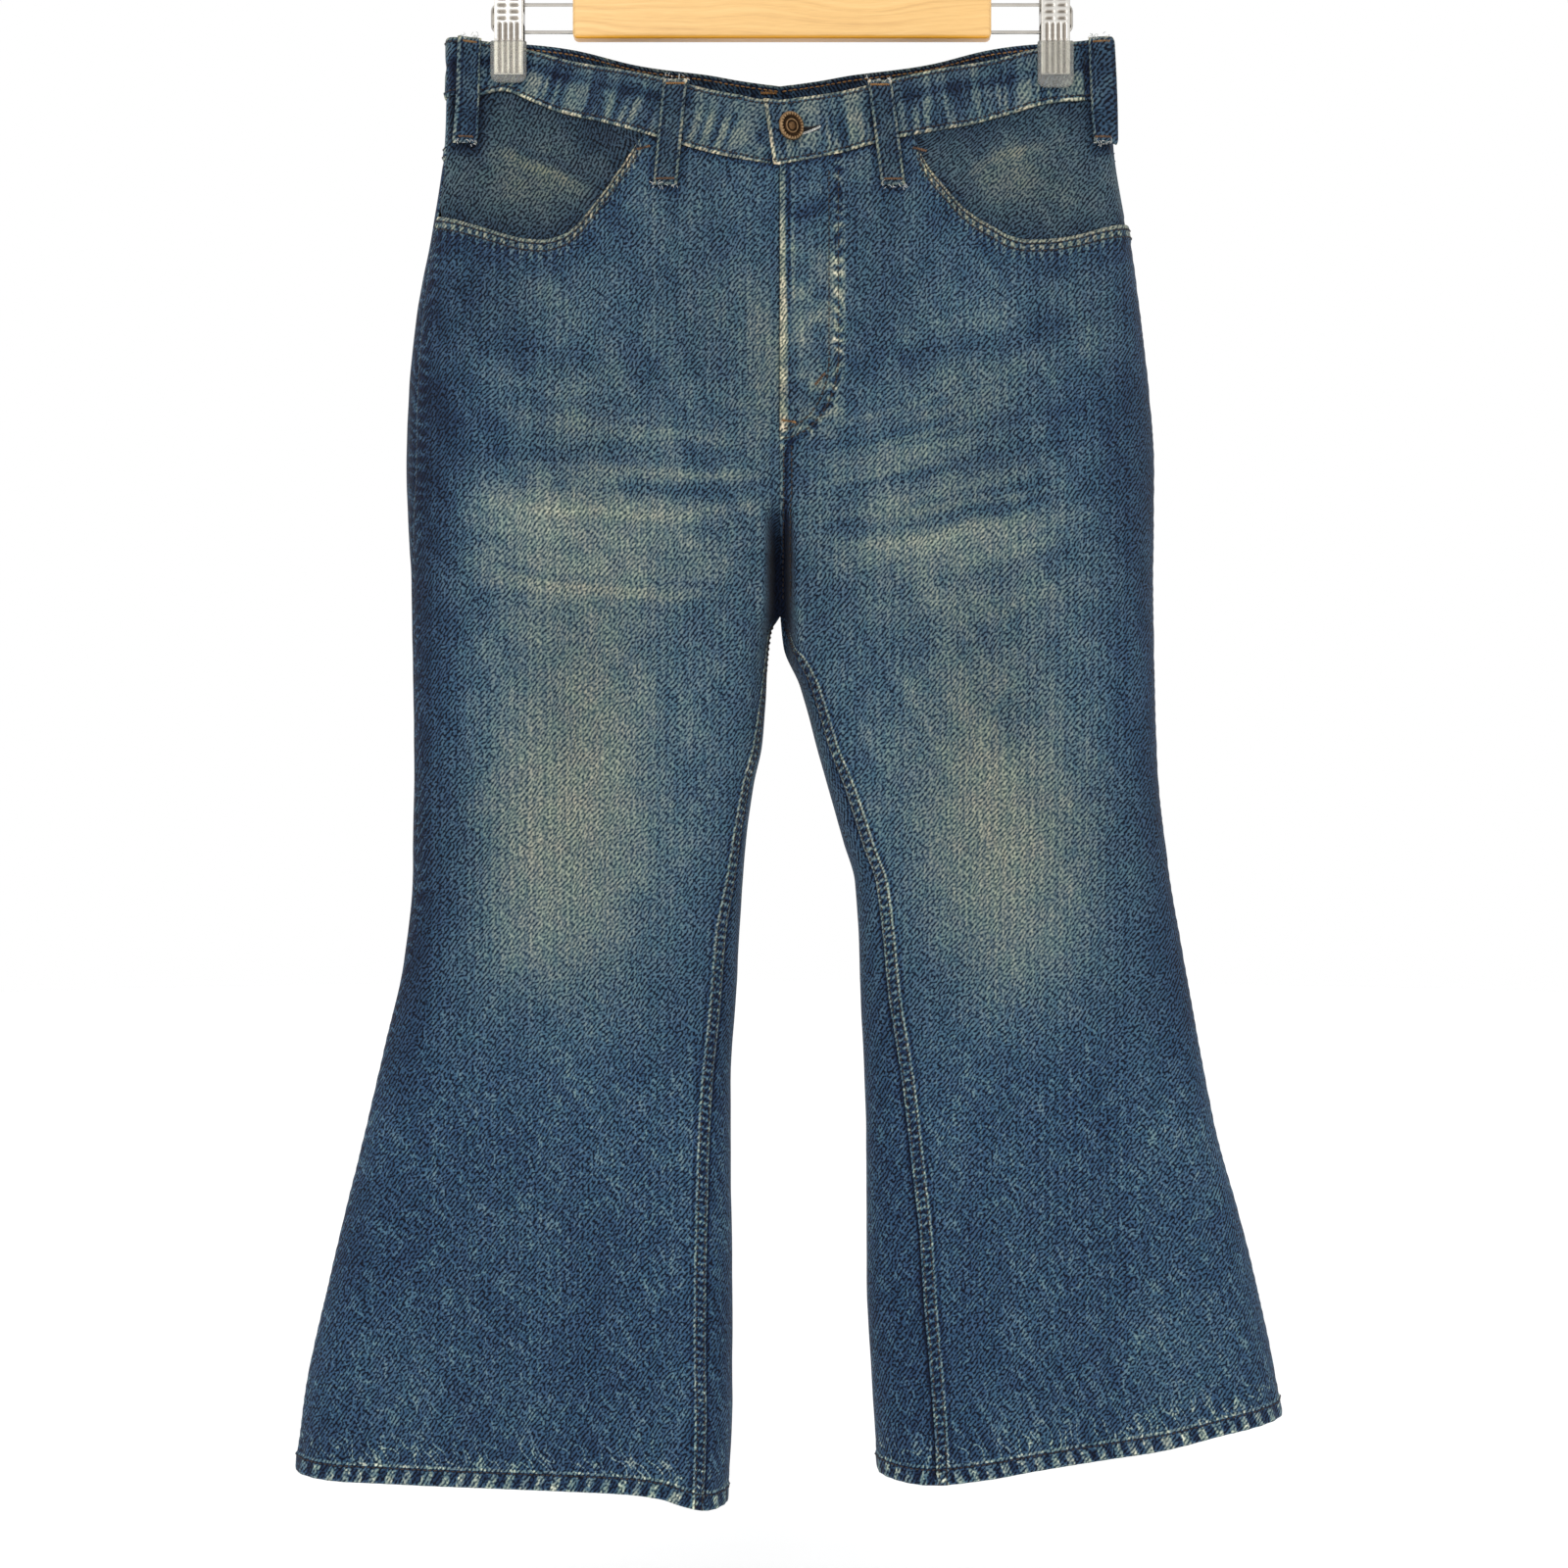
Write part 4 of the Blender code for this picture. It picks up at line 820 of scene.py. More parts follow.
def seams(grid, outseam_width, inseam_width):
    """Raise the seams' layers with their puckers, and note how near each seam is."""
    ticks = turns(grid.drop / OUTSEAM_PITCH + 0.9 * noise(grid.drop / 21, layer=3))
    ladder = turns(grid.drop / INSEAM_PITCH + grid.from_end / 14)
    height = window(grid.from_start, -5, outseam_width, 2.5) * (0.25 + 0.12 * ticks)
    height += window(grid.from_end, -5, inseam_width, 1.6) * below_crotch(grid) * (0.5 + 0.14 * ladder)
    grid.near["near_out"] = near(grid.from_start)
    grid.near["near_in"] = near(grid.from_end) * below_crotch(grid) * (inseam_width > 0)
    return height


def leg_hem(grid):
    """Raise the turned hem, roped at a slant, with the crackled and rubbed cloth over it."""
    lean = 0.2
    grid.beat = (grid.from_start - lean * grid.from_bottom) / HEM_PITCH
    grid.beat += 0.35 * noise(grid.from_start / 21, layer=1)
    rope = turns(grid.beat)
    height = window(grid.from_bottom, -5, HEM_DEPTH, 1.6) * (HEM_OUT + 0.32 * rope)
    height += 0.35 * rope * bell(grid.from_bottom - HEM_DEPTH - 3, 4)
    grid.near["near_hem"] = near(grid.from_bottom)
    grid.crackle = grid.crackle + 1.2 * bell(grid.from_bottom - 18, 9)
    grid.wear += 0.05 * bell(grid.from_bottom, 14)
    grid.warm += 0.15 * bell(grid.from_bottom, 14)
    return height


def scoop_edge(grid, side):
    """Raise the pocket scoop's turned edge, with its puckers, and rub it pale; along the panel's top under
    the waistband, paint a shadow.
    """
    in_scoop = eased((grid.across - SCOOP_START[side] + 6) / 12)
    places = np.linspace(0, 210, 400)
    run = np.cumsum(np.hypot(np.gradient(places), np.gradient(scoop_line(side, places))))
    along = np.interp(grid.across, places, run)
    upper = grid.from_bottom > 60
    grid.beat[upper] = (along / SCOOP_PITCH + 0.4 * noise(along / 23, layer=2))[upper]
    puckers = turns(grid.beat) * upper
    height = in_scoop * window(grid.from_top, -5, 9.5, 2) * 0.45
    height += in_scoop * 0.25 * puckers * bell(grid.from_top - 6.5, 3.5)
    grid.near["near_top"] = near(grid.from_top) * in_scoop
    straight = window(grid.across, SCOOP_START[side] + 3, SCOOP_START[side] + 44, 6)
    rubbed = in_scoop * window(grid.from_top, -5, 8.6, 1.4)
    grid.wear += rubbed * (0.07 + 0.06 * straight + 0.24 * bell(grid.from_start, SIDE_REACH))
    grid.warm += rubbed * (0.25 + 0.15 * straight)
    grid.wear -= 0.06 * in_scoop * window(grid.from_top, 10, 24, 9)
    # Painted shadow along the panel's top, under the waistband's lower edge.
    grid.wear -= 0.26 * (1 - in_scoop) * bell(grid.from_top, 2.8)
    return height


def fly_edge(grid):
    """Raise the fly's stitched layers, and rub its folded edge, its lumps and the placket between them."""
    fly = fly_distance(grid.across, grid.drop)
    in_fly = (grid.drop < FLY_END) * eased((FLY_STITCH + 6 - grid.across) / 6)
    grid.near["near_fly"] = near(fly) * (grid.drop < FLY_END + 8)
    knots = noise(grid.drop / 6, grid.across / 9, 4)
    rungs = noise(grid.drop / 7, grid.across / 12, 5)
    height = (0.35 * knots * bell(fly, 5) + 0.25 * rungs) * in_fly
    height += (0.35 * window(grid.across, -5, 5, 2) + 0.3 * window(grid.across, 7, 10, 2)) * in_fly
    edge = bell(grid.across, 6.5) * eased((FLY_END - grid.drop) / 30 + 0.4)
    placket = in_fly * rise(grid.drop, 108, 40)
    grid.wear += 0.15 * rungs * in_fly - 0.08 * in_fly * window(grid.drop, 60, 112, 14)
    grid.wear -= 0.16 * bell(fly, 6) * rise(grid.drop, FLY_STRAIGHT, 12) * in_fly
    grid.wear += 0.14 * edge + 0.13 * placket
    grid.warm += 0.2 * edge + 0.08 * placket
    grid.wear -= 0.12 * window(grid.across, 2, 8, 2) * window(grid.drop, FLY_END, 322, 12)
    grid.wear += in_fly * 0.10 * window(grid.across, 7, 9.5, 1.5)
    grid.wear -= in_fly * 0.11 * window(grid.across, 4.6, 6.4, 1.2)
    spread = (1 + rise(grid.drop, FLY_END, 12)) * (0.5 - 0.17 * rise(grid.drop, 130, 60))
    grid.near["near_edge"] = near(grid.across * spread) * (grid.drop < 324)
    return height


def make_front_panel(word, side):
    def under_lap(across):
        return scoop_line(side, across) + FACING_LAP

    upper = [
        (partial(scoop_line, side), under_lap, np.linspace(0, 1, 15)),
        (under_lap, level(SHARED_DROP), rows_after(12)),
    ]
    grid = cloth_grid([leg_patch(side, partial(inseam, side), upper, 258)])
    leg_wear(grid)
    height = grid.height + seams(grid, 8.5, 7.6) + leg_hem(grid) + scoop_edge(grid, side)
    # Painted shade in the cleft between the legs, darkening the hollow over the crotch.
    grid.wear -= 0.6 * cleft(grid.across, grid.drop) * eased((CROTCH + 24 - grid.drop) / 20)
    if side == RIGHT:
        height += fly_edge(grid)
    lift = fly_lift(side, grid.across, grid.drop)
    body = panel_inside(side, grid.across, grid.drop) + lift + np.minimum(height, 0)
    made = shell(f"front_panel_{word}_cloth", grid, height + lift, body)
    sheet(made, f"front_panel_{word}", *FRONT_CUT)
    return grid


def make_back_panel(word, side):
    def inner(drop):
        """The inseam's place, counted the other way round the half."""
        return inseam(side, drop) - 2

    grid = cloth_grid([leg_patch(side, inner, [(YOKE_LINE, level(SHARED_DROP), np.linspace(0, 1, 24))], 220)])
    leg_wear(grid)
    height = grid.height + seams(grid, 0, 0) + leg_hem(grid)
    # Darker below the crotch, with a painted shadow line along the inner edge, where the back lies behind the
    # front's inseam.
    grid.wear -= below_crotch(grid) * (0.08 + 0.4 * bell(grid.from_end, 1.4))
    height -= 0.4 * window(grid.from_end, -5, 1.5, 1.5) * rise(grid.drop, CROTCH, 10)
    body = panel_inside(side, grid.across, grid.drop) + 0.5 * grid.height
    made = shell(f"back_panel_{word}_cloth", grid, height, body)
    sheet(made, f"back_panel_{word}", *BACK_CUT)
    return grid


def make_yoke(word, side):
    span = (partial(band_seam, side, "back"), YOKE_LINE, np.linspace(0, 1, 34))
    patch = patch_between(side, partial(outseam, side), level(-1.0), spaced((0, 1, 96)), [span])
    grid = cloth_grid([patch])
    grid.wear += 0.14
    grid.beat = grid.from_start / 5.0
    height = grid.height + window(grid.from_bottom, -5, 8, 1.6) * (0.45 + 0.12 * turns(grid.beat))
    grid.near["near_top"] = near(grid.from_bottom)
    made = shell(f"yoke_{word}_cloth", grid, height, -DENIM + 0.5 * grid.height)
    sheet(made, f"yoke_{word}", 215, 92, 0.62)
    return grid


def make_pocket_facing(word, side):
    """The denim that shows in a front pocket's scoop, cut off where the scoop begins."""
    def top(across):
        return band_seam(side, "front", across) - 1

    def bottom(across):
        return scoop_line(side, across) + FACING_LAP

    def inner(drop):
        """A line most of the way in to the centre, past where the scoop begins."""
        return outseam(side, drop) + 0.75 * (1 - outseam(side, drop))

    span = (top, bottom, np.linspace(0, 1, 46))
    _, around, drop = patch_between(side, partial(outseam, side), inner, spaced((0, 1, 70)), [span])
    kept = across_at(side, around, drop).min(axis=1) > SCOOP_START[side] - 12
    grid = cloth_grid([(side, around[kept], drop[kept])])
    over_scoop = scoop_line(side, grid.across) - grid.drop
    haze = np.exp(-(((grid.across - 152) / 42) ** 2 + ((grid.drop - 92) / 22) ** 2))
    grid.wear += 0.065 + 0.02 * side + 0.15 * haze
    # Painted shade: darker near its top under the waistband and near the scoop's edge that overhangs it.
    grid.wear -= 0.06 * bell(grid.from_top, 14) + 0.10 * bell(over_scoop, 12)
    grid.warm += 0.38 - 0.06 * side + 0.12 * haze
    lapped = (1 - eased(grid.from_start / 9)) * 2.1 + (1 - eased(grid.from_top / 8)) * 1.0
    depth = FACING_DEPTH - rise(over_scoop, 1, 6) * np.minimum(lapped, 2.1)
    made = shell(f"pocket_facing_{word}_cloth", grid, grid.height * 0.6 - depth, -depth - 1.0)
    sheet(made, f"pocket_facing_{word}", 150, 118, 0.75)


def make_back_pocket(word, side):
    """A patch pocket with a hemmed top, plain but for its edge stitching."""
    inner, outer, taper, top, bottom, point = 42.0, 178.0, 8.0, 126.0, 268.0, 22.0
    shares = np.linspace(0, 1, 80)
    place = np.linspace(-1, 1, 72)[:, None]
    across = (inner + outer) / 2 + place * ((outer - inner) / 2 - taper * shares)
    upper = top - 4 * place
    lower = bottom + point * (1 - np.abs(place))
    grid = cloth_grid([patch_across(side, "back", across, lambda _: upper, lambda _: lower, shares)])
    grid.wear += 0.18
    edge = np.minimum(np.minimum(grid.from_start, grid.from_end), grid.from_bottom)
    grid.near["near_edge"] = near(np.minimum(edge, grid.from_top))
    tight = turns(grid.drop / 5.1 + grid.from_start / 5.3)
    height = grid.height + window(edge, -5, 8, 2) * 0.12 * tight + 0.3 * window(grid.from_top, -5, 22, 2)
    stands = 0.8
    made = shell(f"back_pocket_{word}_cloth", grid, height + stands + DENIM, stands)
    sheet(made, f"back_pocket_{word}", 140, 168, 0.86, f"back_panel_{word}")
    return grid


# ---------------------------------------------------------------- waistband, loops
def waistband_patches():
    """Patches from the right end round the waist to the left end, and how many of them lie on top."""
    rows = spaced((0, 0.06, 3), (0.06, 0.94, 24), (0.94, 1, 3))
    end = BAND_EDGE_ABOVE + (BAND_EDGE_BELOW - BAND_EDGE_ABOVE) * rows
    flat_start, flat_end, flat_columns = 1.4, 186.0, 118
    out = np.linspace(flat_start, flat_end, flat_columns)
    back_out = np.linspace(0.01, flat_end, flat_columns)
    edge = np.linspace(OUTER_SHARE * 0.9, 0.01, 22)
    kept = out[out > UNDERLAP_START + 4]

    def flat(side, face, across):
        return patch_across(side, face, across, WAIST_LINE[face], partial(band_seam, side, face), rows)

    def turn(side, face, places):
        sign = 1 if face == "front" else -1
        span = (WAIST_LINE[face], partial(band_seam, side, face), rows)
        ends = level(sign * places[0]), level(sign * places[-1])
        return patch_between(side, *ends, np.linspace(0, 1, len(places)), [span])

    on_top = [
        flat(LEFT, "front", np.array([end * share for share in (1, 0.88, 0.7, 0.5, 0.3, 0.1)])),
        flat(RIGHT, "front", out),
        turn(RIGHT, "front", edge),
        turn(RIGHT, "back", edge[::-1]),
        flat(RIGHT, "back", back_out[::-1]),
        flat(LEFT, "back", back_out[1:]),
        turn(LEFT, "back", edge),
        turn(LEFT, "front", edge[::-1]),
        flat(LEFT, "front", kept[::-1]),
        flat(LEFT, "front", [UNDERLAP_START]),
    ]
    sunk = [flat(LEFT, "front", [16.0, 12.5, 5.0, 0.01]), flat(RIGHT, "front", [8.0, 18.0, UNDERLAP_END])]
    return on_top + sunk, len(on_top)


def make_waistband():
    patches, on_top = waistband_patches()
    grid = cloth_grid(patches)
    depths = [0.0 if i < on_top else UNDERLAP_SINK for i in range(len(patches))]
    sink = np.repeat(depths, [len(places) for _, places, _ in patches])[:, None]
    share = grid.from_top / grid.from_top[:, -1:]
    fold = 0.42 + 0.10 * noise(grid.from_start / 60, layer=1)
    creased = bell(share - fold, 0.10) * (0.6 + 0.4 * noise(grid.from_start / 35, layer=3))
    creased *= 0.25 + 0.75 * rise(grid.across, 40, 40)
    ribs = np.tanh(2.4 * noise(grid.from_start / 2.3 + 0.8 * share, grid.drop / 30, 2))
    height = grid.height * 0.6 - 0.8 * creased + 0.3 * ribs * (0.4 + 0.6 * (share > fold))
    height += 0.35 * window(grid.from_bottom, -5, 2.4, 1.2)
    edges = bell(grid.from_top, 1.3) + 1.1 * bell(grid.from_bottom, 1.5) + 1.8 * bell(grid.from_start, 2.6)
    # Painted shade along the waistband's crease, darker where it folds in.
    grid.wear += 0.145 - 0.36 * creased + 0.22 * ribs * (0.5 + 0.5 * eased((share - fold) / 0.2 + 0.5))
    grid.wear += 0.10 * bell(share - 0.2, 0.14) * noise(grid.from_start / 26) + 0.12 * edges
    grid.warm += 0.12 + 0.12 * edges
    rim = np.minimum(np.minimum(grid.from_top, grid.from_bottom), grid.from_start * 0.7)
    grid.near["near_edge"] = near(rim)
    outer, inner = BAND_OUT + height - sink, -BAND_IN - sink
    # The inner skin is darkened: painted shade inside the band.
    made = shell("waistband_cloth", grid, outer, inner, inside=0.0, under_wear=-0.2)
    sheet(made, "waistband", 860, 42, 0.95, "hanger_clip_left")
    return grid


def make_belt_loop(name, grid):
    """A narrow loop: raised edges with a channel between them, its ends turned under and frayed."""
    share = np.linspace(0, 1, len(grid.drop))[:, None]
    ridge = bell(share - 0.13, 0.10) + bell(share - 0.87, 0.10)
    ends = bell(grid.from_top, 1.8) + bell(grid.from_bottom, 1.8)
    grid.wear += 0.26 + 0.12 * bell(share - 0.04, 0.07) + 0.12 * bell(share - 0.96, 0.07)
    grid.wear += 0.22 * ends + 0.10 * noise(grid.from_top / 7, share * 3, 1)
    grid.near["near_edge"] = near(np.minimum(grid.from_start, grid.from_end))
    grid.warm += 0.2
    bow = arch(grid.from_top / grid.from_top[:, -1:])
    height = LOOP_STANDOFF + LOOP_THICK - 0.5 + 0.45 * ridge + 0.5 * bow - 0.6 * ends
    made = shell(name + "_cloth", grid, height, LOOP_STANDOFF - 0.2 + 0.4 * bow, inside=0.2, rolled=0.5)
    sheet(made, name, 15, 68, 0.98)


LOOP_SHARES = spaced((0, 0.06, 4), (0.06, 0.94, 34), (0.94, 1, 4))
LOOP_COLUMNS = 17


def front_loop_grid(side, top_across, bottom_across):
    across = top_across + (bottom_across - top_across) * LOOP_SHARES
    drop = WAIST_LINE["front"](across) + LOOP_ABOVE + LOOP_LENGTH * LOOP_SHARES
    middle = around_at(side, "front", across, drop)
    shift = np.linspace(-LOOP_WIDTH / 2, LOOP_WIDTH / 2, LOOP_COLUMNS)[:, None]
    drops = np.broadcast_to(drop, (LOOP_COLUMNS, len(drop)))
    return cloth_grid([(side, walk(side, np.broadcast_to(middle, drops.shape), drops, shift), drops)])


def back_loop_grid():
    """The loop over the centre of the back, half of it on each side."""
    def top(across):
        return WAIST_LINE["back"](across) + LOOP_ABOVE

    def bottom(across):
        return top(across) + LOOP_LENGTH

    half = np.linspace(LOOP_WIDTH / 2, 0.01, LOOP_COLUMNS // 2 + 1)
    def patch(side, across):
        return patch_across(side, "back", across, top, bottom, LOOP_SHARES)

    return cloth_grid([patch(LEFT, half), patch(RIGHT, half[::-1][1:])])


# ---------------------------------------------------------------- sewing
def stitch_row(points, normals, pitch, length, radius, seed):
    """Rounded stitches along a line of points: their vertices and quads."""
    run = run_length(points, 0)
    count = max(int(run[-1] / pitch), 1)
    chance = np.random.default_rng(seed)
    jitter, wander, reach = 0.1, 0.12, 0.3
    centre = (np.arange(count) + 0.5) * run[-1] / count + chance.uniform(-jitter, jitter, count) * pitch

    def along(values, at):
        return np.stack([np.interp(at, run, values[:, k]) for k in range(3)], -1)

    # A stitch is four rings of four points. Each ring: share of the length, size and lift.
    profile = ((-0.5, 0.45, -0.25), (-0.2, 1.0, 0.22), (0.2, 1.0, 0.22), (0.5, 0.45, -0.25))
    rings = []
    for share, size, lift in profile:
        at = centre + share * length
        normal = along(normals, at)
        normal /= np.linalg.norm(normal, axis=-1, keepdims=True)
        ahead = along(points, at + reach) - along(points, at - reach)
        tangent = ahead / np.maximum(np.linalg.norm(ahead, axis=-1, keepdims=True), 1e-6)
        side = np.cross(tangent, normal)
        place = along(points, at) + normal * lift + side * chance.uniform(-wander, wander, (count, 1))
        rings.append(np.stack([place + way * radius * size for way in (side, normal, -side, -normal)], 1))
    faces = []
    for low in (0, 4, 8):
        faces += [(low + k, low + (k + 1) % 4, low + 4 + (k + 1) % 4, low + 4 + k) for k in range(4)]
    faces = np.array([*faces, (3, 2, 1, 0), (12, 13, 14, 15)])
    faces = faces[None] + 16 * np.arange(count)[:, None, None]
    return np.stack(rings, 1).reshape(-1, 3), faces.reshape(-1, 4)


def sew(name, rows, material):
    """One object of many rows of stitches; a row is (points, normals, pitch, length, radius)."""
    points, faces, start = [], [], 0
    for seed, row in enumerate(rows):
        made, quads = stitch_row(*row, seed=seed)
        points.append(made)
        faces.append(quads + start)
        start += len(made)
    quad_mesh(name, np.concatenate(points), np.concatenate(faces), material)


def traced(grid, distance, target, down=False, keep=None):
    """The line of the skin where a distance from an edge has a value: a point for each column or row."""
    skin, normal, values = grid.skin, grid.normal, distance
    if not down:
        skin, normal, values = (np.swapaxes(array, 0, 1) for array in (skin, normal, values))
        keep = None if keep is None else keep.T
    points, normals = [], []
    for j in range(values.shape[1]):
        order = np.argsort(values[:, j])
        at = np.interp(target, values[order, j], order.astype(float))
        i = min(int(at), len(values) - 2)
        if keep is not None and not keep[i, j]:
            continue
        share = at - i
        points.append(skin[i, j] * (1 - share) + skin[i + 1, j] * share)
        normals.append(normal[i, j] * (1 - share) + normal[i + 1, j] * share)
    return np.array(points), np.array(normals)


def on_cloth(side, face, across, drop, lift):
    """Points and normals of a line drawn on the front or back."""
    across, drop = np.broadcast_arrays(np.asarray(across, float), np.asarray(drop, float))
    around = around_at(side, face, across, drop)
    height, _, _ = creases(side, np.full(across.shape, face == "front"), across, drop)
    normal = cloth_normal(side, around, drop)
    return cloth_point(side, around, drop) + normal * (height + lift)[..., None], normal


def zigzag(side, face, start, end, width, lift):
    """A bar of dense stitching from one (across, drop) to another."""
    start, end = np.array(start, float), np.array(end, float)
    length = np.hypot(*(end - start))
    turn_apart, radius = 0.5, 0.3
    count = int(length / turn_apart)
    share = np.linspace(0, 1, count)[:, None]
    over = np.array([end[1] - start[1], start[0] - end[0]]) / length * width / 2
    line = start + (end - start) * share + over * np.where(np.arange(count) % 2, 1, -1)[:, None]
    points, normals = on_cloth(side, face, line[:, 0], line[:, 1], lift)
    step = np.linalg.norm(np.diff(points, axis=0), axis=-1).mean()
    return points, normals, step, step * 1.1, radius


def plain_row(points, normals):
    return points, normals, STITCH_PITCH, STITCH_PITCH * STITCH_SHARE, STITCH_RADIUS


def edge_rows(fronts, backs, yokes):
    """Rows beside the inseams, hems, pocket scoops and yoke seams, and down the back's centre."""
    rows = []
    for side, grid in fronts.items():
        below = grid.drop > CROTCH + 6
        in_scoop = grid.across > SCOOP_START[side] + 1
        rows += [traced(grid, grid.from_end, inset, down=True, keep=below) for inset in TOPSTITCH["inseam"]]
        rows.append(traced(grid, grid.from_bottom, HEM_STITCH["front"]))
        rows += [traced(grid, grid.from_top, inset, keep=in_scoop) for inset in TOPSTITCH["scoop"]]
    rows += [traced(grid, grid.from_bottom, HEM_STITCH["back"]) for grid in backs.values()]
    rows += [traced(grid, grid.from_bottom, inset) for grid in yokes.values() for inset in TOPSTITCH["yoke"]]
    drop = np.linspace(134, 340, 80)
    rows += [on_cloth(RIGHT, "back", across, drop, 0.5) for across in TOPSTITCH["back centre"]]
    return [plain_row(*row) for row in rows]


def pocket_rows(pockets):
    """Two rows round each back pocket's sides and foot, and one under its top hem."""
    rows = []
    insets = (5, 3), (10, 8)  # columns in from the sides and rows up from the foot
    for grid in pockets.values():
        for column, row in insets:
            path = np.s_[column, :-row], np.s_[column:-column, -row], np.s_[-column, -row::-1]
            points = np.concatenate([grid.skin[part] for part in path])
            normals = np.concatenate([grid.normal[part] for part in path])
            rows.append((points, normals, STITCH_PITCH, 2.6, STITCH_RADIUS))
        rows.append(plain_row(*traced(grid, grid.from_top, POCKET_HEM_STITCH)))
    return rows


def fly_rows():
    """Two rows down the fly and in to the centre, thin on the straight, then two down the centre seam."""
    rows = []
    count = 30
    for inset in TOPSTITCH["fly"]:
        reach, depth = FLY_STITCH - inset, FLY_END - FLY_STRAIGHT - inset
        turn = np.linspace(0, 0.96, 40) * math.pi / 2
        across = np.concatenate([np.full(count, reach), reach * np.cos(turn)])
        drop = np.concatenate([np.linspace(86, FLY_STRAIGHT, count), FLY_STRAIGHT + depth * np.sin(turn)])
        for part, radius in ((np.s_[:count], 0.3), (np.s_[count - 1:], 0.55)):
            line = on_cloth(RIGHT, "front", across[part], drop[part], FLY_LIFT + 0.35)
            rows.append((*line, STITCH_PITCH, 2.8, radius))
    drop = np.linspace(FLY_END + 4, 342, 50)
    centre = [on_cloth(RIGHT, "front", across, drop, 0.5) for across in TOPSTITCH["front centre"]]
    return rows + [plain_row(*row) for row in centre]


def inner_band_rows():
    """A row inside the back of the waistband, which shows over the front."""
    rows = []
    for side in SIDES.values():
        across = np.linspace(1, 196, 90)
        drop = WAIST_LINE["back"](across) + BAND_STITCH_INSIDE
        points, normals = on_cloth(side, "back", across, drop, -BAND_IN - 0.2)
        rows.append((points, -normals, STITCH_PITCH, 2.7, STITCH_RADIUS))
    return rows


# The bars that hold a loop lie near its ends: share of its length, inset from there.
LOOP_BARS = ((0.0, 3.2), (1.0, -3.4))


def loop_bars(rust, gold):
    """Bars across the belt loops: gold at the tops of the front ones, rust elsewhere."""
    lift, width = LOOP_STANDOFF + LOOP_THICK, 1.7
    for _, side, top, bottom in BELT_LOOPS:
        for share, inset in LOOP_BARS:
            centre = top + (bottom - top) * share
            drop = float(WAIST_LINE["front"](centre)) + LOOP_ABOVE + LOOP_LENGTH * share + inset
            half = 5.6 if centre < SIDE_LOOP else 4.0
            centre = min(centre, 196.0)
            bar = zigzag(side, "front", (centre - half, drop), (centre + half, drop), width, lift - 0.1)
            (rust if share else gold).append(bar)
    for share, inset in LOOP_BARS:
        drop = float(WAIST_LINE["back"](0)) + LOOP_ABOVE + LOOP_LENGTH * share + inset
        rust += [zigzag(side, "back", (0.1, drop), (5.6, drop), width, lift) for side in (RIGHT, LEFT)]


def sew_everything(fronts, backs, yokes, pockets, band):
    dark = edge_rows(fronts, backs, yokes) + pocket_rows(pockets) + fly_rows()
    dark.append(plain_row(*traced(band, band.from_bottom, BAND_STITCH_BELOW)))
    dark.append(plain_row(*traced(band, band.from_top, BAND_STITCH_ABOVE)))
    rust, gold = [], inner_band_rows()
    loop_bars(rust, gold)
    # Other bars: thread, side, face, start and end as (across, drop), width, lift.
    for thread, *bar in (
        (gold, RIGHT, "front", (1.0, 237), (9.5, 238.5), 1.8, FLY_LIFT + 0.6),
        (gold, LEFT, "back", (2, 25.0), (12, 25.0), 2.2, -BAND_IN - 0.4),
        (rust, RIGHT, "front", (21, 216), (27, 209), 2.0, FLY_LIFT + 0.5),
        (rust, RIGHT, "front", (80, 72), (88, 74), 2.0, 0.8),
        (rust, LEFT, "front", (78, 71), (86, 73), 2.0, 0.8),
        (rust, LEFT, "back", (40, 128), (48, 128), 2.0, 3.0),
        (gold, RIGHT, "back", (172, 124), (180, 124), 2.0, 3.0),
    ):
        thread.append(zigzag(*bar))
    sew("stitching_dark", dark, THREAD_DARK)
    sew("stitching_rust", rust, THREAD_RUST)
    sew("stitching_gold", gold, THREAD_GOLD)


def make_buttonhole():
    """The hole past the button's right edge, its slit a near-black strip of painted shade, with the worn pale
    thread of its lower edge.
    """
    start, end, drop, climbs = 11.5, 24.5, 61.8, 2.6
    span = np.linspace(0, 1, 30)
    across = start + (end - start) * span
    lower = drop + 2.2 - (2.2 + climbs) * span**1.5
    upper = drop - 1.6 - 1.6 * span**2
    rows = []
    for shift in (-0.45, 0.0, 0.45):
        line = on_cloth(RIGHT, "front", across, lower + shift, BAND_OUT + 0.5)
        rows.append((*line, 1.1, 1.3, 0.34))
    sew("buttonhole_thread", rows, THREAD_PALE)
    edge = on_cloth(RIGHT, "front", across, upper, BAND_OUT + 0.35)
    sew("buttonhole_edge", [(*edge, 0.9, 1.1, 0.4)], THREAD_DARK)
    columns = 12
    span = np.linspace(0, 1, columns)[:, None]
    across = start + 0.6 + (end - start - 1.2) * span
    half = 1.5 * np.sin(span * math.pi) ** 0.5
    middle = drop + 0.2 - climbs * 0.55 * span + half * np.array([[-1, 1]])
    skins = [on_cloth(RIGHT, "front", across, middle, BAND_OUT + lift)[0] for lift in (0.42, 0.12)]
    # A near-black strip of painted shade in the slit.
    made = quad_mesh("buttonhole_slit_shade", np.concatenate(skins).reshape(-1, 3), slit_faces(columns), SLIT_SHADE)


def slit_faces(columns):
    """Quads of a thin strip two points wide, with its underside and edges."""
    count = 2 * columns
    faces = []
    for a in range(0, count - 2, 2):
        b, c, d = a + 1, a + 3, a + 2
        faces += [(a, b, c, d), (d + count, c + count, b + count, a + count)]
        faces += [(a, d, d + count, a + count), (b, b + count, c + count, c)]
    last = count - 2
    faces += [(0, count, count + 1, 1), (last, last + 1, last + 1 + count, last + count)]
    return np.array(faces)


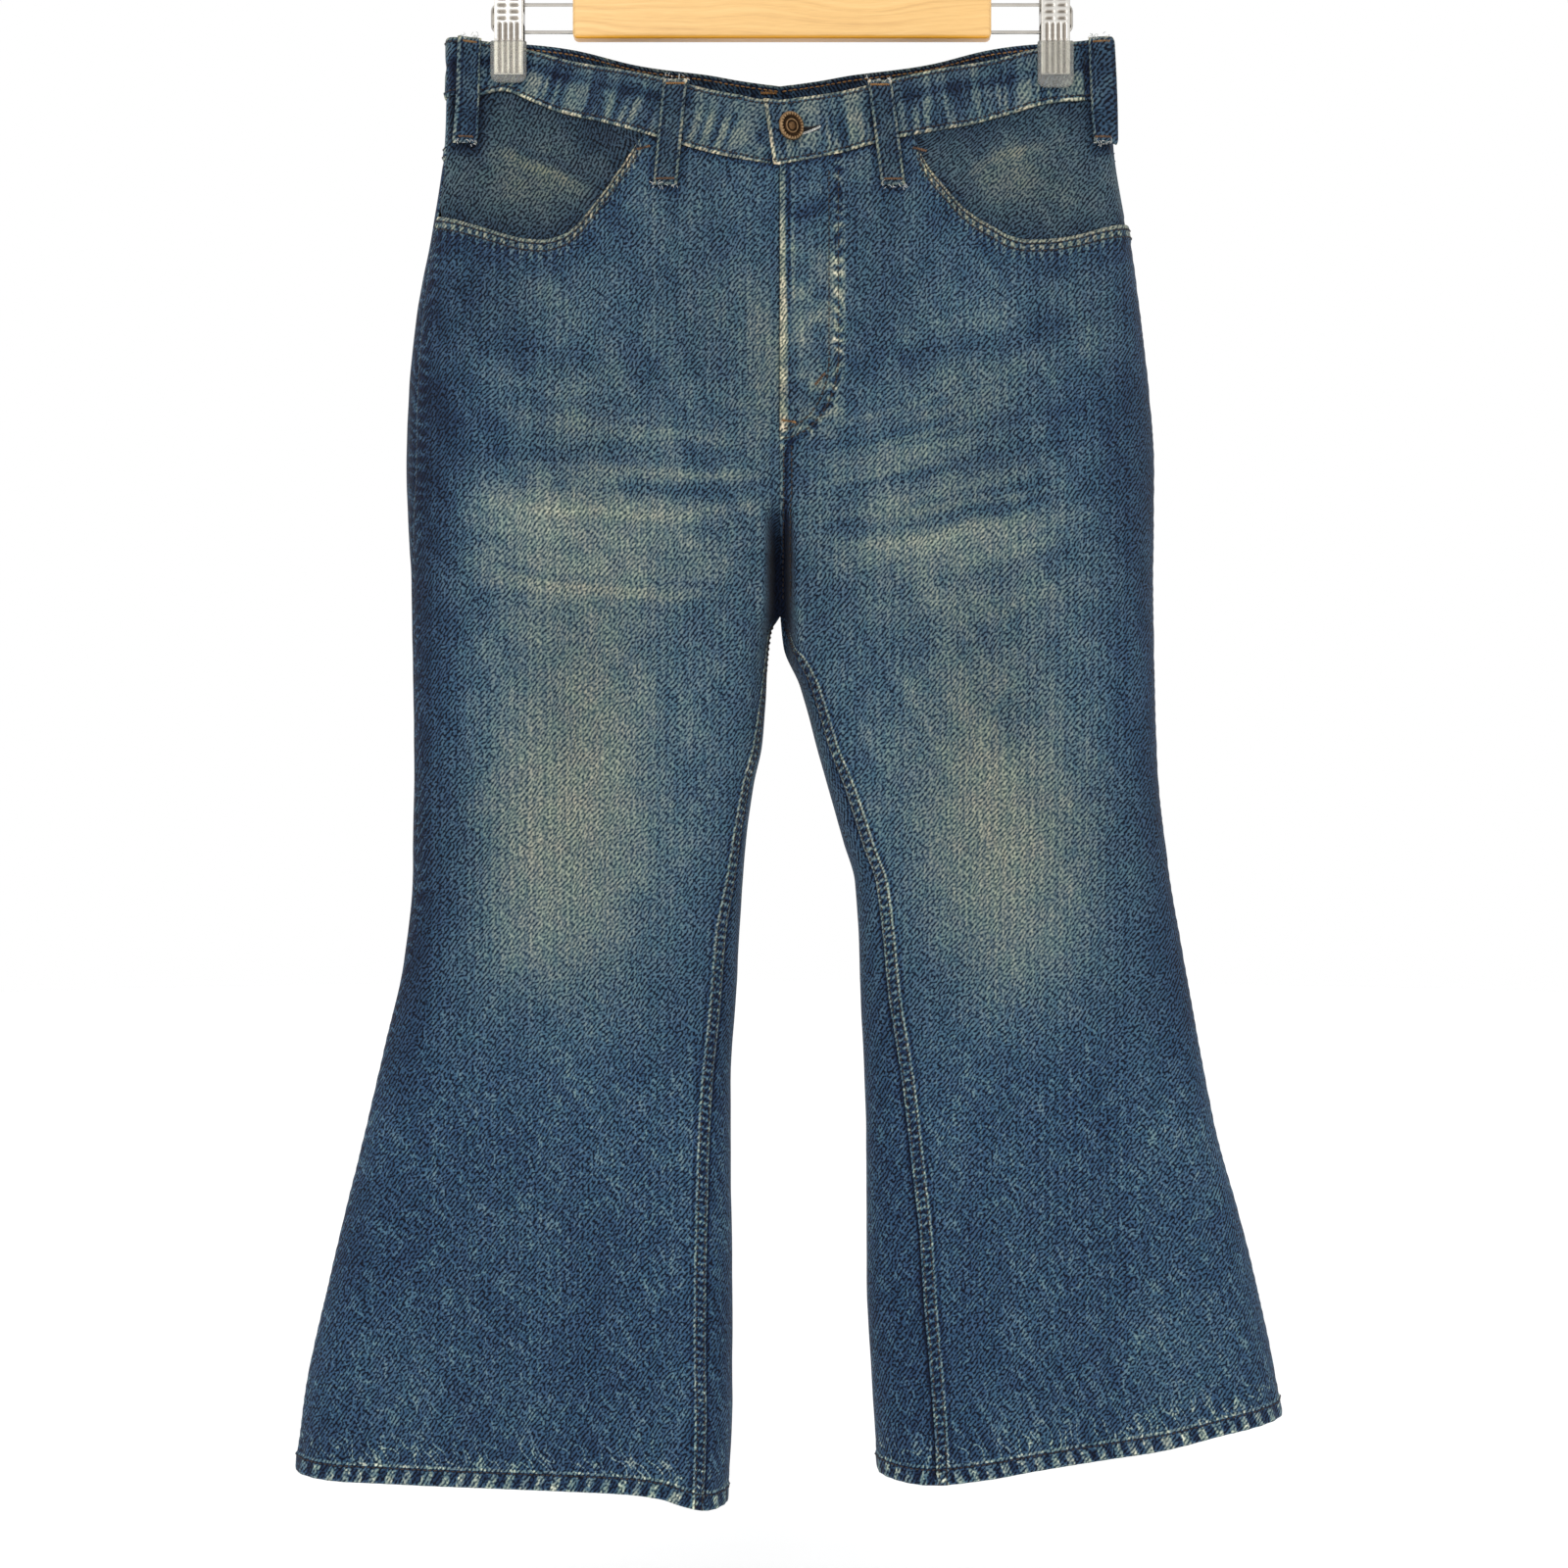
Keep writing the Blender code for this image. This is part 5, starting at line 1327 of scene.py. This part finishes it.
def make_frays():
    """Short loose threads where the loops' cut ends have worn through."""
    chance = np.random.default_rng(5)
    threads, on_edge = 16, 0.4  # at each end of a loop, and the share of them at its corners
    rows = []
    for _, side, top, bottom in BELT_LOOPS:
        for share in (0.0, 1.0):
            centre = min(top + (bottom - top) * share, 197.0)
            drop = float(WAIST_LINE["front"](centre)) + LOOP_ABOVE + LOOP_LENGTH * share
            for _ in range(threads):
                edge = chance.choice((-1, 1)) if chance.random() < on_edge else chance.uniform(-1, 1)
                x = centre + edge * (6.8 if centre < SIDE_LOOP else 4.5)
                y = drop + chance.uniform(-1.2, 1.2)
                angle = chance.uniform(0, 2 * math.pi)
                reach = chance.uniform(1.2, 3.2)
                out = np.linspace(0, 1, 5)
                way = angle + chance.uniform(-1, 1) * out**2
                x = np.clip(x + reach * np.cos(way) * out, 0.1, 200)
                y = y + reach * np.sin(way) * out
                line = on_cloth(side, "front", x, y, LOOP_STANDOFF + LOOP_THICK - 0.4)
                rows.append((*line, reach, reach, 0.2))
    sew("frayed_threads", rows, THREAD_PALE)


def finish_solid(name, mesh, material):
    """A smooth object of a finished bmesh, riding the one body."""
    bmesh.ops.recalc_face_normals(mesh, faces=mesh.faces)
    data = bpy.data.meshes.new(name)
    mesh.to_mesh(data)
    mesh.free()
    data.shade_smooth()
    data.materials.append(material)
    made = show(name, data)
    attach(made, "root")
    return made


def make_button():
    """A domed button: a low dome, plain raised rings, and small notches cut in the outer one."""
    # Rows of its section from the middle of the front round to the back: radius, height.
    profile = (
        (0, 3.2), (1.2, 3.15), (2.2, 2.9), (2.7, 2.35), (3.1, 2.3), (3.5, 2.75), (3.9, 2.85), (4.3, 2.7),
        (4.7, 2.2), (5.6, 2.1), (6.0, 2.35), (6.4, 2.95), (6.9, 3.25), (7.5, 3.25), (8.1, 2.9), (8.5, 2.3),
        (8.7, 1.6), (8.5, 0.9), (8.0, 0.4), (7.2, 0.15), (3.5, 0.0), (3.5, -3.6), (0, -3.6),
    )
    steps, notches, notch_radius, notch_depth = 144, 24, 6.8, 0.3
    angle = np.linspace(0, 2 * math.pi, steps, endpoint=False)[:, None]
    radius, height = np.array(profile).T
    lean = math.radians(BUTTON_TURN)
    out = np.array([math.sin(lean), -math.cos(lean), 0])
    right = np.array([math.cos(lean), math.sin(lean), 0])
    up = np.array([0, 0, 1.0])
    place = around_at(RIGHT, "front", BUTTON_ACROSS, BUTTON_DROP)
    seat = cloth_point(RIGHT, place, BUTTON_DROP) - np.array([0, BAND_OUT + BUTTON_CLEAR, 0])
    notched = bell(radius - notch_radius, 0.9) * (height > 2.5) * (np.cos(notches * angle) < 0)
    height = (height - notch_depth * notched)[..., None]
    way = (np.cos(angle) * right + np.sin(angle) * up)[:, None]
    slices = (seat + height * out + radius[None, :, None] * way) * MM
    mesh = bmesh.new()
    top, bottom = mesh.verts.new(slices[0, 0]), mesh.verts.new(slices[0, -1])
    verts = [[mesh.verts.new(point) for point in line[1:-1]] for line in slices]
    for line, after in zip(verts, verts[1:] + verts[:1]):
        mesh.faces.new((top, line[0], after[0]))
        mesh.faces.new((bottom, after[-1], line[-1]))
        for a, b, c, d in zip(line, line[1:], after[1:], after):
            mesh.faces.new((a, b, c, d))
    button = finish_solid("waist_button_metal", mesh, BRASS)
    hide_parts("waist_button")


# ---------------------------------------------------------------- the hanger's clips
def box_mm(node):
    return (np.array(corner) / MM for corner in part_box(node))


def clip_relief(word, face):
    """Pressed relief over a clip's plate: dents in two columns, and upright ribs below them."""
    low, high = box_mm(f"hanger_clip_{word}")
    facing = -1 if face == "front" else 1
    half, rib_half, rib_pitch = 8.6, 7.0, 3.5
    dent_pitch, dent_low, dent_high, dent_across = 4.0, 9.5, 38, 3.8
    columns, rows = 56, 96
    across, upright = np.linspace(-half, half, columns), np.linspace(low[2] + 0.4, high[2] - 0.4, rows)
    x, z = np.meshgrid(across, upright, indexing="ij")
    above = z - WAIST_TOP
    on_ribs = np.abs(x) < rib_half
    ribs = np.cos(2 * math.pi * x / rib_pitch) * on_ribs
    row = (above - 12.0) / dent_pitch
    dents = bell(row - np.round(row), 0.24) * bell(np.abs(x) - dent_across, 2.6, 4)
    dents *= rise(above, dent_low, 1.0) * (1 - rise(above, dent_high, 2))
    groove = np.clip((1 - rise(above, 8.5, 1.5)) * (0.5 - 0.5 * ribs) * on_ribs + dents, 0, 1)
    open_air = rise(above, PAD_TOP + 0.3, 0.8)
    height = 0.1 + (0.12 + 0.5 * open_air) * (1 - groove)
    height[[0, -1], :] = height[:, [0, -1]] = 0.08
    depth = max(abs(low[1]), abs(high[1]))
    middle = (low[0] + high[0]) / 2
    skins = [np.stack([middle + x, facing * (depth + over), z], -1) for over in (height, 0.03 + 0 * x)]
    faces = closed_faces(columns, rows)
    if facing > 0:
        faces = faces[:, ::-1]
    # The grooves also get painted shade in the steel's colour.
    fields = {"groove": np.tile(groove.ravel(), 2)}
    points = np.concatenate(skins).reshape(-1, 3)
    made = quad_mesh(f"clip_relief_{face}_{word}", points, faces, STEEL, fields=fields)


def clip_pad(word, face):
    """A clear pad like a cup over the plate's foot, rounded at its lower corners and edges."""
    node = f"clip_pad_{face}_{word}"
    low, high = box_mm(node)
    plate_low, _ = box_mm(f"hanger_clip_{word}")
    middle, (half_x, half_y, _) = (low + high) / 2, (high - low) / 2
    slot_y, slot_half_x, slot_half_y = (-1 if face == "front" else 1) * 6.1, 9.0, 0.95
    lip, foot_round = 0.7, 5.0
    corners = np.radians([5, 30, 60, 85])

    def ring(z, half_x, half_y, centre_y, radius):
        turn = np.concatenate([corners + math.pi / 2 * k for k in range(4)])
        way = np.stack([np.cos(turn), np.sin(turn)], -1)
        spots = np.array([half_x - radius, half_y - radius]) * np.sign(way) + radius * way
        return [np.array((middle[0] + x, centre_y + y, z)) * MM for x, y in spots]

    rings = [ring(z, slot_half_x, slot_half_y, slot_y, 0.2) for z in (plate_low[2] - 0.3, high[2])]
    rings.append(ring(high[2], half_x - lip, half_y - lip, middle[1], 0.4))
    rings.append(ring(high[2] - lip, half_x, half_y, middle[1], 0.9))
    for angle in np.radians([0, 18, 36, 54, 72, 90]):
        narrow = 1 - math.cos(angle)
        z = low[2] + foot_round * (1 - math.sin(angle))
        rings.append(ring(z, half_x - foot_round * narrow, half_y - narrow**2, middle[1], 0.8))
    mesh = bmesh.new()
    made = [[mesh.verts.new(point) for point in points] for points in rings]
    mesh.faces.new(made[0])
    mesh.faces.new(made[-1])
    for under, over in zip(made, made[1:]):
        for a, b, c, d in zip(under, under[1:] + under[:1], over[1:] + over[:1], over):
            mesh.faces.new((a, b, c, d))
    pad = finish_solid(node + "_clear", mesh, FROSTED)
    pad.data.set_sharp_from_angle(angle=math.radians(40))
    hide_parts(node)


# ---------------------------------------------------------------- materials
class Term:
    """A shader value that adds and multiplies like a number."""

    def __init__(self, tree, socket):
        self.tree, self.socket = tree, socket

    def apply(self, operation, *others):
        node = self.tree.nodes.new("ShaderNodeMath")
        node.operation = operation
        for socket, value in zip(node.inputs, (self, *others)):
            plug(self.tree, socket, value)
        return Term(self.tree, node.outputs[0])

    def __add__(self, other):
        return self.apply("ADD", other)

    def __sub__(self, other):
        return self.apply("SUBTRACT", other)

    def __mul__(self, other):
        return self.apply("MULTIPLY", other)

    def __rsub__(self, other):
        return self * -1 + other

    __radd__, __rmul__ = __add__, __mul__

    def wave(self):
        """A sine of this many turns."""
        return (self * (2 * math.pi)).apply("SINE")

    def between(self, low, high, soft):
        """1 between two values and 0 outside, with soft ends."""
        return self.step(low - soft, low + soft) - self.step(high - soft, high + soft)

    def step(self, low, high, start=0.0, end=1.0):
        node = self.tree.nodes.new("ShaderNodeMapRange")
        node.interpolation_type = "SMOOTHSTEP"
        plug(self.tree, node.inputs[0], self)
        for socket, value in zip(node.inputs[1:5], (low, high, start, end)):
            socket.default_value = value
        return Term(self.tree, node.outputs[0])


def plug(tree, socket, value):
    if isinstance(value, Term):
        tree.links.new(value.socket, socket)
    else:
        socket.default_value = value


class Material:
    """A new material with the nodes that the looks below are written in."""

    def __init__(self, name, roughness, metallic=0.0):
        self.made = bpy.data.materials.new(name)
        self.made.use_nodes = True
        self.tree = self.made.node_tree
        self.shader = self.tree.nodes["Principled BSDF"]
        self.shader.inputs["Roughness"].default_value = roughness
        self.shader.inputs["Metallic"].default_value = metallic

    def attribute(self, name):
        node = self.tree.nodes.new("ShaderNodeAttribute")
        node.attribute_name = name
        return Term(self.tree, node.outputs["Fac"])

    def split(self, socket, count):
        """The first parts of a vector in metres, in mm."""
        node = self.tree.nodes.new("ShaderNodeSeparateXYZ")
        self.tree.links.new(socket, node.inputs[0])
        return tuple(Term(self.tree, node.outputs[k]) * 1000 for k in range(count))

    def place(self):
        """The cloth's own coordinates, along and down, in mm."""
        node = self.tree.nodes.new("ShaderNodeUVMap")
        node.uv_map = "cloth"
        return self.split(node.outputs[0], 2)

    def space(self):
        """The object's coordinates in mm."""
        node = self.tree.nodes.new("ShaderNodeTexCoord")
        return self.split(node.outputs["Object"], 3)

    def noise(self, x, y, seed, detail=0.0):
        """Noise about zero, nearly all of it between -1 and 1."""
        join = self.tree.nodes.new("ShaderNodeCombineXYZ")
        for socket, value in zip(join.inputs, (x, y, seed)):
            plug(self.tree, socket, value)
        node = self.tree.nodes.new("ShaderNodeTexNoise")
        node.inputs["Scale"].default_value = 1.0
        node.inputs["Detail"].default_value = detail
        node.inputs["Roughness"].default_value = 0.5
        self.tree.links.new(join.outputs[0], node.inputs["Vector"])
        return (Term(self.tree, node.outputs[0]) - 0.5) * 2.6

    def ramp(self, value, stops):
        """Colours for a value from 0 to 1; each stop is (position, sRGB colour)."""
        node = self.tree.nodes.new("ShaderNodeValToRGB")
        plug(self.tree, node.inputs[0], value)
        elements = node.color_ramp.elements
        while len(elements) < len(stops):
            elements.new(0.5)
        for element, (position, colour) in zip(elements, stops):
            element.position = position
            element.color = (*linear(colour), 1)
        return Term(self.tree, node.outputs[0])

    def mix(self, share, first, second, blend="MIX"):
        node = self.tree.nodes.new("ShaderNodeMix")
        node.data_type = "RGBA"
        node.blend_type = blend
        plug(self.tree, node.inputs["Factor"], share)
        for socket, value in ((node.inputs[6], first), (node.inputs[7], second)):
            plug(self.tree, socket, value if isinstance(value, Term) else (*linear(value), 1))
        return Term(self.tree, node.outputs[2])

    def set(self, inputs):
        for name, value in inputs.items():
            self.shader.inputs[name].default_value = value

    def finish(self, colour, relief, distance, strength):
        """Link the colour and fine relief, which is in units of the distance, in mm."""
        self.tree.links.new(colour.socket, self.shader.inputs["Base Color"])
        node = self.tree.nodes.new("ShaderNodeBump")
        node.inputs["Strength"].default_value = strength
        node.inputs["Distance"].default_value = distance * MM
        plug(self.tree, node.inputs["Height"], relief)
        self.tree.links.new(node.outputs[0], self.shader.inputs["Normal"])
        return self.made


def linear(colour):
    """An sRGB colour of 0 to 255 as linear light."""
    share = np.array(colour, float) / 255
    return tuple(np.where(share <= 0.04045, share / 12.92, ((share + 0.055) / 1.055) ** 2.4))


BASE_SHADE = 0.264  # how far up the denim's colours ordinary cloth lies
DENIM_STOPS = (
    (0.0, (12, 22, 44)), (0.2, (26, 44, 68)), (0.35, (42, 64, 88)), (0.5, (62, 85, 102)),
    (0.65, (94, 109, 112)), (0.8, (132, 141, 134)), (1.0, (196, 196, 182)),
)


def seam_marks(made, u, v, wander):
    """How much paler (+) or darker (-) the cloth is in bands beside its seams, hems and edges."""
    edges = ("in", "out", "hem", "top", "fly", "edge")
    inner, outer, hem, top, fly, edge = ((1 - made.attribute("near_" + name)) * NEAR for name in edges)
    ladder = (v * (1 / 4.8) + inner * (1 / 14) + wander * 0.25).wave()
    ticks = (v * (1 / OUTSEAM_PITCH) + outer * (1 / 16) + wander).wave()
    beat = made.attribute("beat").wave().step(-0.5, 0.5, -1.0, 1.0)
    knots = made.noise(v * 0.16, u * 0.2, 10.0, 1.0)
    dents = (v * (1 / 9.5) + wander * 0.8).wave()
    # Each band: the distance from an edge, where it starts and ends in mm, its softness, its strength.
    bands = (
        (inner, 1.2, 6.6, 0.5, ladder * 0.26 - 0.10),
        (inner, 0.2, 2.2, 0.4, 0.20),
        (inner, 6.6, 8.0, 0.4, knots * 0.12 + 0.28),
        # Painted shadow beside the felled inseam.
        (inner, 8.2, 10.5, 0.8, -0.16),
        (outer, -9, 9.5, 1.5, ticks * 0.17),
        (outer, -9, 0.8, 0.4, 0.22),
        (hem, 1.0, 8.6, 1.0, beat * (knots * 0.2 + 0.24) + knots * 0.1 + 0.05),
        (hem, -9, 1.2, 0.4, beat * 0.1 + 0.16),
        (hem, 8.9, 10.2, 0.3, -0.26),
        (hem, 10.4, 12.0, 0.4, knots * 0.16 + 0.26),
        (hem, 12.4, 20, 3, beat * 0.06),
        (top, -9, 2.3, 0.4, knots * 0.1 + 0.24),
        (top, 2.5, 3.5, 0.3, -0.32),
        (top, 3.6, 6.9, 0.5, beat * 0.14 + 0.07),
        (top, 7.0, 8.1, 0.3, -0.32),
        (top, 8.4, 13, 1.4, beat * 0.12),
        (fly, -9, 5.0, 2.0, knots * 0.2 + 0.10),
        (fly, -9, 2.6, 1.4, dents * -0.24 - 0.08),
        (edge, -9, 1.6, 0.3, knots * 0.08 + 0.13),
        (edge, 1.8, 3.2, 0.3, -0.18),
    )
    return sum(distance.between(*band) * strength for distance, *band, strength in bands)


def denim_look():
    """Indigo twill: pale weft in diagonal lines, uneven dye, worn ridges and puckered seams."""
    made = Material("Denim_worn", 0.88)
    u, v = made.place()
    # The mesh's values hold the cloth's real fading together with the shade painted on it.
    wear, warm, crackle, inside = (made.attribute(name) for name in ("wear", "warm", "crackle", "inside"))
    wander = made.noise(u * 0.09, v * 0.05, 1.0)
    over, along = u * 0.8 + v * 0.6, u * 0.6 - v * 0.8
    twill = (over * (1 / WALE) + wander * 0.6).wave()
    dashes = made.noise(over * 0.25, along * 0.6, 2.0)
    fleck = made.noise(over * 0.68, along * 0.54, 7.0)
    mottle = made.noise(u * 0.16, v * 0.11, 9.0, 1.0)
    cloud = made.noise(u * 0.035, v * 0.02, 4.0, 2.0)
    cast = made.noise(u * 0.08, v * 0.07, 8.0, 1.0)
    slant, down = u * STREAK_COSINE - v * STREAK_SINE, u * STREAK_SINE + v * STREAK_COSINE
    veins = made.noise(slant * 0.16 + made.noise(slant * 0.1, down * 0.08, 6.0) * 0.5, down * 0.045, 5.0, 1.0)
    vein = veins.apply("ABSOLUTE").step(0.0, 0.11, 1.0, 0.0)
    marks = seam_marks(made, u, v, wander)
    worn = (wear + marks * 0.7).step(0.0, 0.35)
    grain = (twill * (dashes * 0.36 + 0.22) + fleck * 0.46) * (2.5 - worn * 1.5)
    grain = grain.step(-0.75, 0.36, -0.75, 0.36)
    index = BASE_SHADE + wear + marks + cloud * 0.03 + mottle * (0.05 - crackle * 0.02) + grain * 0.3
    index = index + vein * crackle * 0.18
    face = made.mix(1.0, made.ramp(index, DENIM_STOPS), (grain * 1.25).apply("EXPONENT"), "MULTIPLY")
    face = made.mix(cast.step(-0.6, 0.6), face, made.mix(0.8, face, (236, 255, 250), "MULTIPLY"))
    tinted = made.mix(warm.step(0.0, 1.0), face, (255, 222, 196), "MULTIPLY")
    colour = made.mix(inside * 0.9, tinted, made.ramp(index + 0.16, DENIM_STOPS))
    made.set({"Sheen Weight": 0.05, "Sheen Roughness": 0.5, "Specular IOR Level": 0.15})
    return made.finish(colour, twill * dashes * 0.5 + fleck * 0.5 + vein * crackle * 0.5, 0.12, 0.4)


def thread_look(name, dark, pale):
    made = Material(name, 0.7)
    x, y, z = made.space()
    worn = made.noise(x * 0.3, z * 0.3, 1.0, 2.0)
    ply = ((x + y + z) * 1.4).wave()
    colour = made.ramp(worn * 0.5 + 0.5 + ply * 0.1, ((0.2, dark), (0.85, pale)))
    return made.finish(colour, ply, 0.1, 0.6)


def brass_look():
    """Brass gone brown in its hollows and rubbed bright on its rims."""
    made = Material("Brass_aged", 0.42, 1.0)
    x, _, z = made.space()
    tarnish = made.noise(x * 0.5, z * 0.5, 1.0, 3.0)
    geometry = made.tree.nodes.new("ShaderNodeNewGeometry")
    rub = Term(made.tree, geometry.outputs["Pointiness"]).step(0.46, 0.58)
    stops = (0.0, (42, 31, 22)), (0.4, (98, 72, 48)), (1.0, (188, 160, 122))
    return made.finish(made.ramp(rub * 0.8 + tarnish * 0.2, stops), tarnish, 0.12, 0.5)


def steel_look(name, tone):
    """Bright nickel, with a painted reflection that darkens it where it turns away from the view, and painted
    shade in its grooves.
    """
    made = Material(name, 0.22, 1.0)
    x, _, z = made.space()
    smear = made.noise(x * 0.12, z * 0.5, 1.0, 3.0)
    weight = made.tree.nodes.new("ShaderNodeLayerWeight")
    weight.inputs["Blend"].default_value = 0.5
    turned = Term(made.tree, weight.outputs["Facing"]).step(0.35, 0.85)
    # Painted reflection: darker where the surface turns away from the view; painted shade in the grooves.
    shade = smear * 0.06 + tone - turned * 0.55 - made.attribute("groove") * 0.62
    stops = (0.0, (58, 50, 44)), (0.5, (150, 142, 132)), (1.0, (236, 234, 228))
    return made.finish(made.ramp(shade, stops), smear, 0.15, 0.5)


def wood_look():
    """Pale varnished wood with long grain, tinted a deep orange round its lower edge as painted shade of the
    underside.
    """
    made = Material("Wood_varnished", 0.35)
    x, y, z = made.space()
    bend = made.noise(x * 0.012, z * 0.03, 1.0, 1.0)
    line = made.noise(x * 0.01, z * 0.35 + y * 0.3 + bend * 3, 2.0, 3.0)
    fibre = made.noise(x * 0.08, z * 2.2 + y * 2, 3.0, 2.0)
    # Painted shade: the lower edge is tinted deep orange, standing for the shaded underside.
    low = z.step(WOOD_LOW + 0.2, WOOD_LOW + 2.0, 0.9, 0.0)
    stops = (0.0, (196, 146, 84)), (0.5, (232, 186, 116)), (1.0, (246, 208, 142))
    colour = made.mix(low, made.ramp(line * 0.35 + fibre * 0.18 + 0.5, stops), (255, 176, 24))
    made.set({"Coat Weight": 0.3, "Coat Roughness": 0.2})
    return made.finish(colour, fibre, 0.1, 0.4)


def frosted_look():
    made = Material("Plastic_frosted", 0.22)
    x, _, z = made.space()
    haze = made.noise(x * 0.15, z * 0.15, 1.0, 2.0)
    made.set({"Transmission Weight": 0.88, "IOR": 1.2})
    stops = (0.0, (230, 229, 222)), (1.0, (242, 241, 236))
    return made.finish(made.ramp(haze * 0.5 + 0.5, stops), haze, 0.2, 0.3)


def tape_look():
    made = Material("Zip_tape_woven", 0.8)
    x, _, _ = made.space()
    rib = (x * 0.9).wave()
    stops = (0.0, (24, 30, 46)), (1.0, (52, 62, 86))
    return made.finish(made.ramp(rib * 0.3 + 0.5, stops), rib, 0.15, 0.6)


def plain_look(name, colour, roughness, inputs=None):
    made = Material(name, roughness)
    made.set({"Base Color": (*linear(colour), 1), **(inputs or {})})
    return made.made


# ---------------------------------------------------------------- stage, light and camera
def make_stage():
    mesh = bmesh.new()
    bmesh.ops.create_circle(mesh, cap_ends=True, segments=64, radius=FLOOR_RADIUS)
    data = bpy.data.meshes.new("floor")
    mesh.to_mesh(data)
    mesh.free()
    glow = {"Emission Color": (1, 1, 1, 1), "Emission Strength": 0.12}
    data.materials.append(plain_look("Floor_pale", (252, 252, 252), 0.8, glow))
    floor = show("floor", data)
    floor.location.z = FLOOR
    world = bpy.data.worlds.new("Studio")
    world.use_nodes = True
    world.node_tree.nodes["Background"].inputs[0].default_value = (1, 1, 1, 1)
    world.node_tree.nodes["Background"].inputs[1].default_value = 1.0
    bpy.context.scene.world = world
    bpy.context.scene.view_settings.view_transform = "Standard"


def make_light(name, place, target, size, power):
    data = bpy.data.lights.new(name, "AREA")
    data.size, data.energy = size, power
    light = show(name, data)
    light.location = place
    light.rotation_euler = (Vector(target) - Vector(place)).to_track_quat("-Z", "Y").to_euler()


def make_camera():
    data = bpy.data.cameras.new("camera")
    data.angle = 2 * math.atan(HALF_VIEW / CAMERA_AWAY)
    camera = show("camera", data)
    camera.location = (CAMERA_X, -CAMERA_AWAY, CAMERA_Z)
    camera.rotation_euler = (math.radians(90), 0, 0)
    bpy.context.scene.camera = camera


def dress(node, material):
    """Give a solid that already has its right shape a finished material."""
    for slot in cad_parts[node].material_slots:
        slot.material = material


# ---------------------------------------------------------------- the scene
DENIM_LOOK = denim_look()
THREAD_DARK = thread_look("Thread_dark", (22, 20, 24), (62, 50, 44))
THREAD_RUST = thread_look("Thread_rust", (70, 50, 38), (134, 98, 66))
THREAD_GOLD = thread_look("Thread_gold", (112, 76, 40), (176, 130, 74))
THREAD_PALE = thread_look("Thread_pale", (150, 156, 160), (226, 224, 214))
# Near-black painted shade for the buttonhole's slit.
SLIT_SHADE = plain_look("Slit_painted_shade", (8, 9, 14), 0.95)
STEEL, WIRE_STEEL = steel_look("Steel_nickelled", 0.86), steel_look("Steel_wire", 0.66)
BRASS, WOOD, FROSTED = brass_look(), wood_look(), frosted_look()
TAPE = tape_look()

FRONTS = {side: make_front_panel(word, side) for word, side in SIDES.items()}
BACKS = {side: make_back_panel(word, side) for word, side in SIDES.items()}
YOKES = {side: make_yoke(word, side) for word, side in SIDES.items()}
for word, side in SIDES.items():
    make_pocket_facing(word, side)
POCKETS = {side: make_back_pocket(word, side) for word, side in SIDES.items()}
BAND = make_waistband()
for loop_name, *loop_place in BELT_LOOPS:
    make_belt_loop(loop_name, front_loop_grid(*loop_place))
make_belt_loop("belt_loop_back", back_loop_grid())
sew_everything(FRONTS, BACKS, YOKES, POCKETS, BAND)
make_buttonhole()
make_frays()
make_button()

for node in ("fly_facing", "fly_shield"):
    dress(node, DENIM_LOOK)
dress("zip_tape", TAPE)
dress("hanger_bar", WOOD)
dress("hanger_hook", WIRE_STEEL)
for word in SIDES:
    dress(f"hanger_arm_{word}", WIRE_STEEL)
    dress(f"hanger_clip_{word}", STEEL)
    for face in FACES:
        clip_relief(word, face)
        clip_pad(word, face)

make_stage()
make_light("key", (-0.9, -2.4, 0.5), (0, 0, -0.5), 1.6, 12)
make_light("fill", (1.4, -2.0, -0.3), (0, 0, -0.6), 1.6, 3)
make_camera()
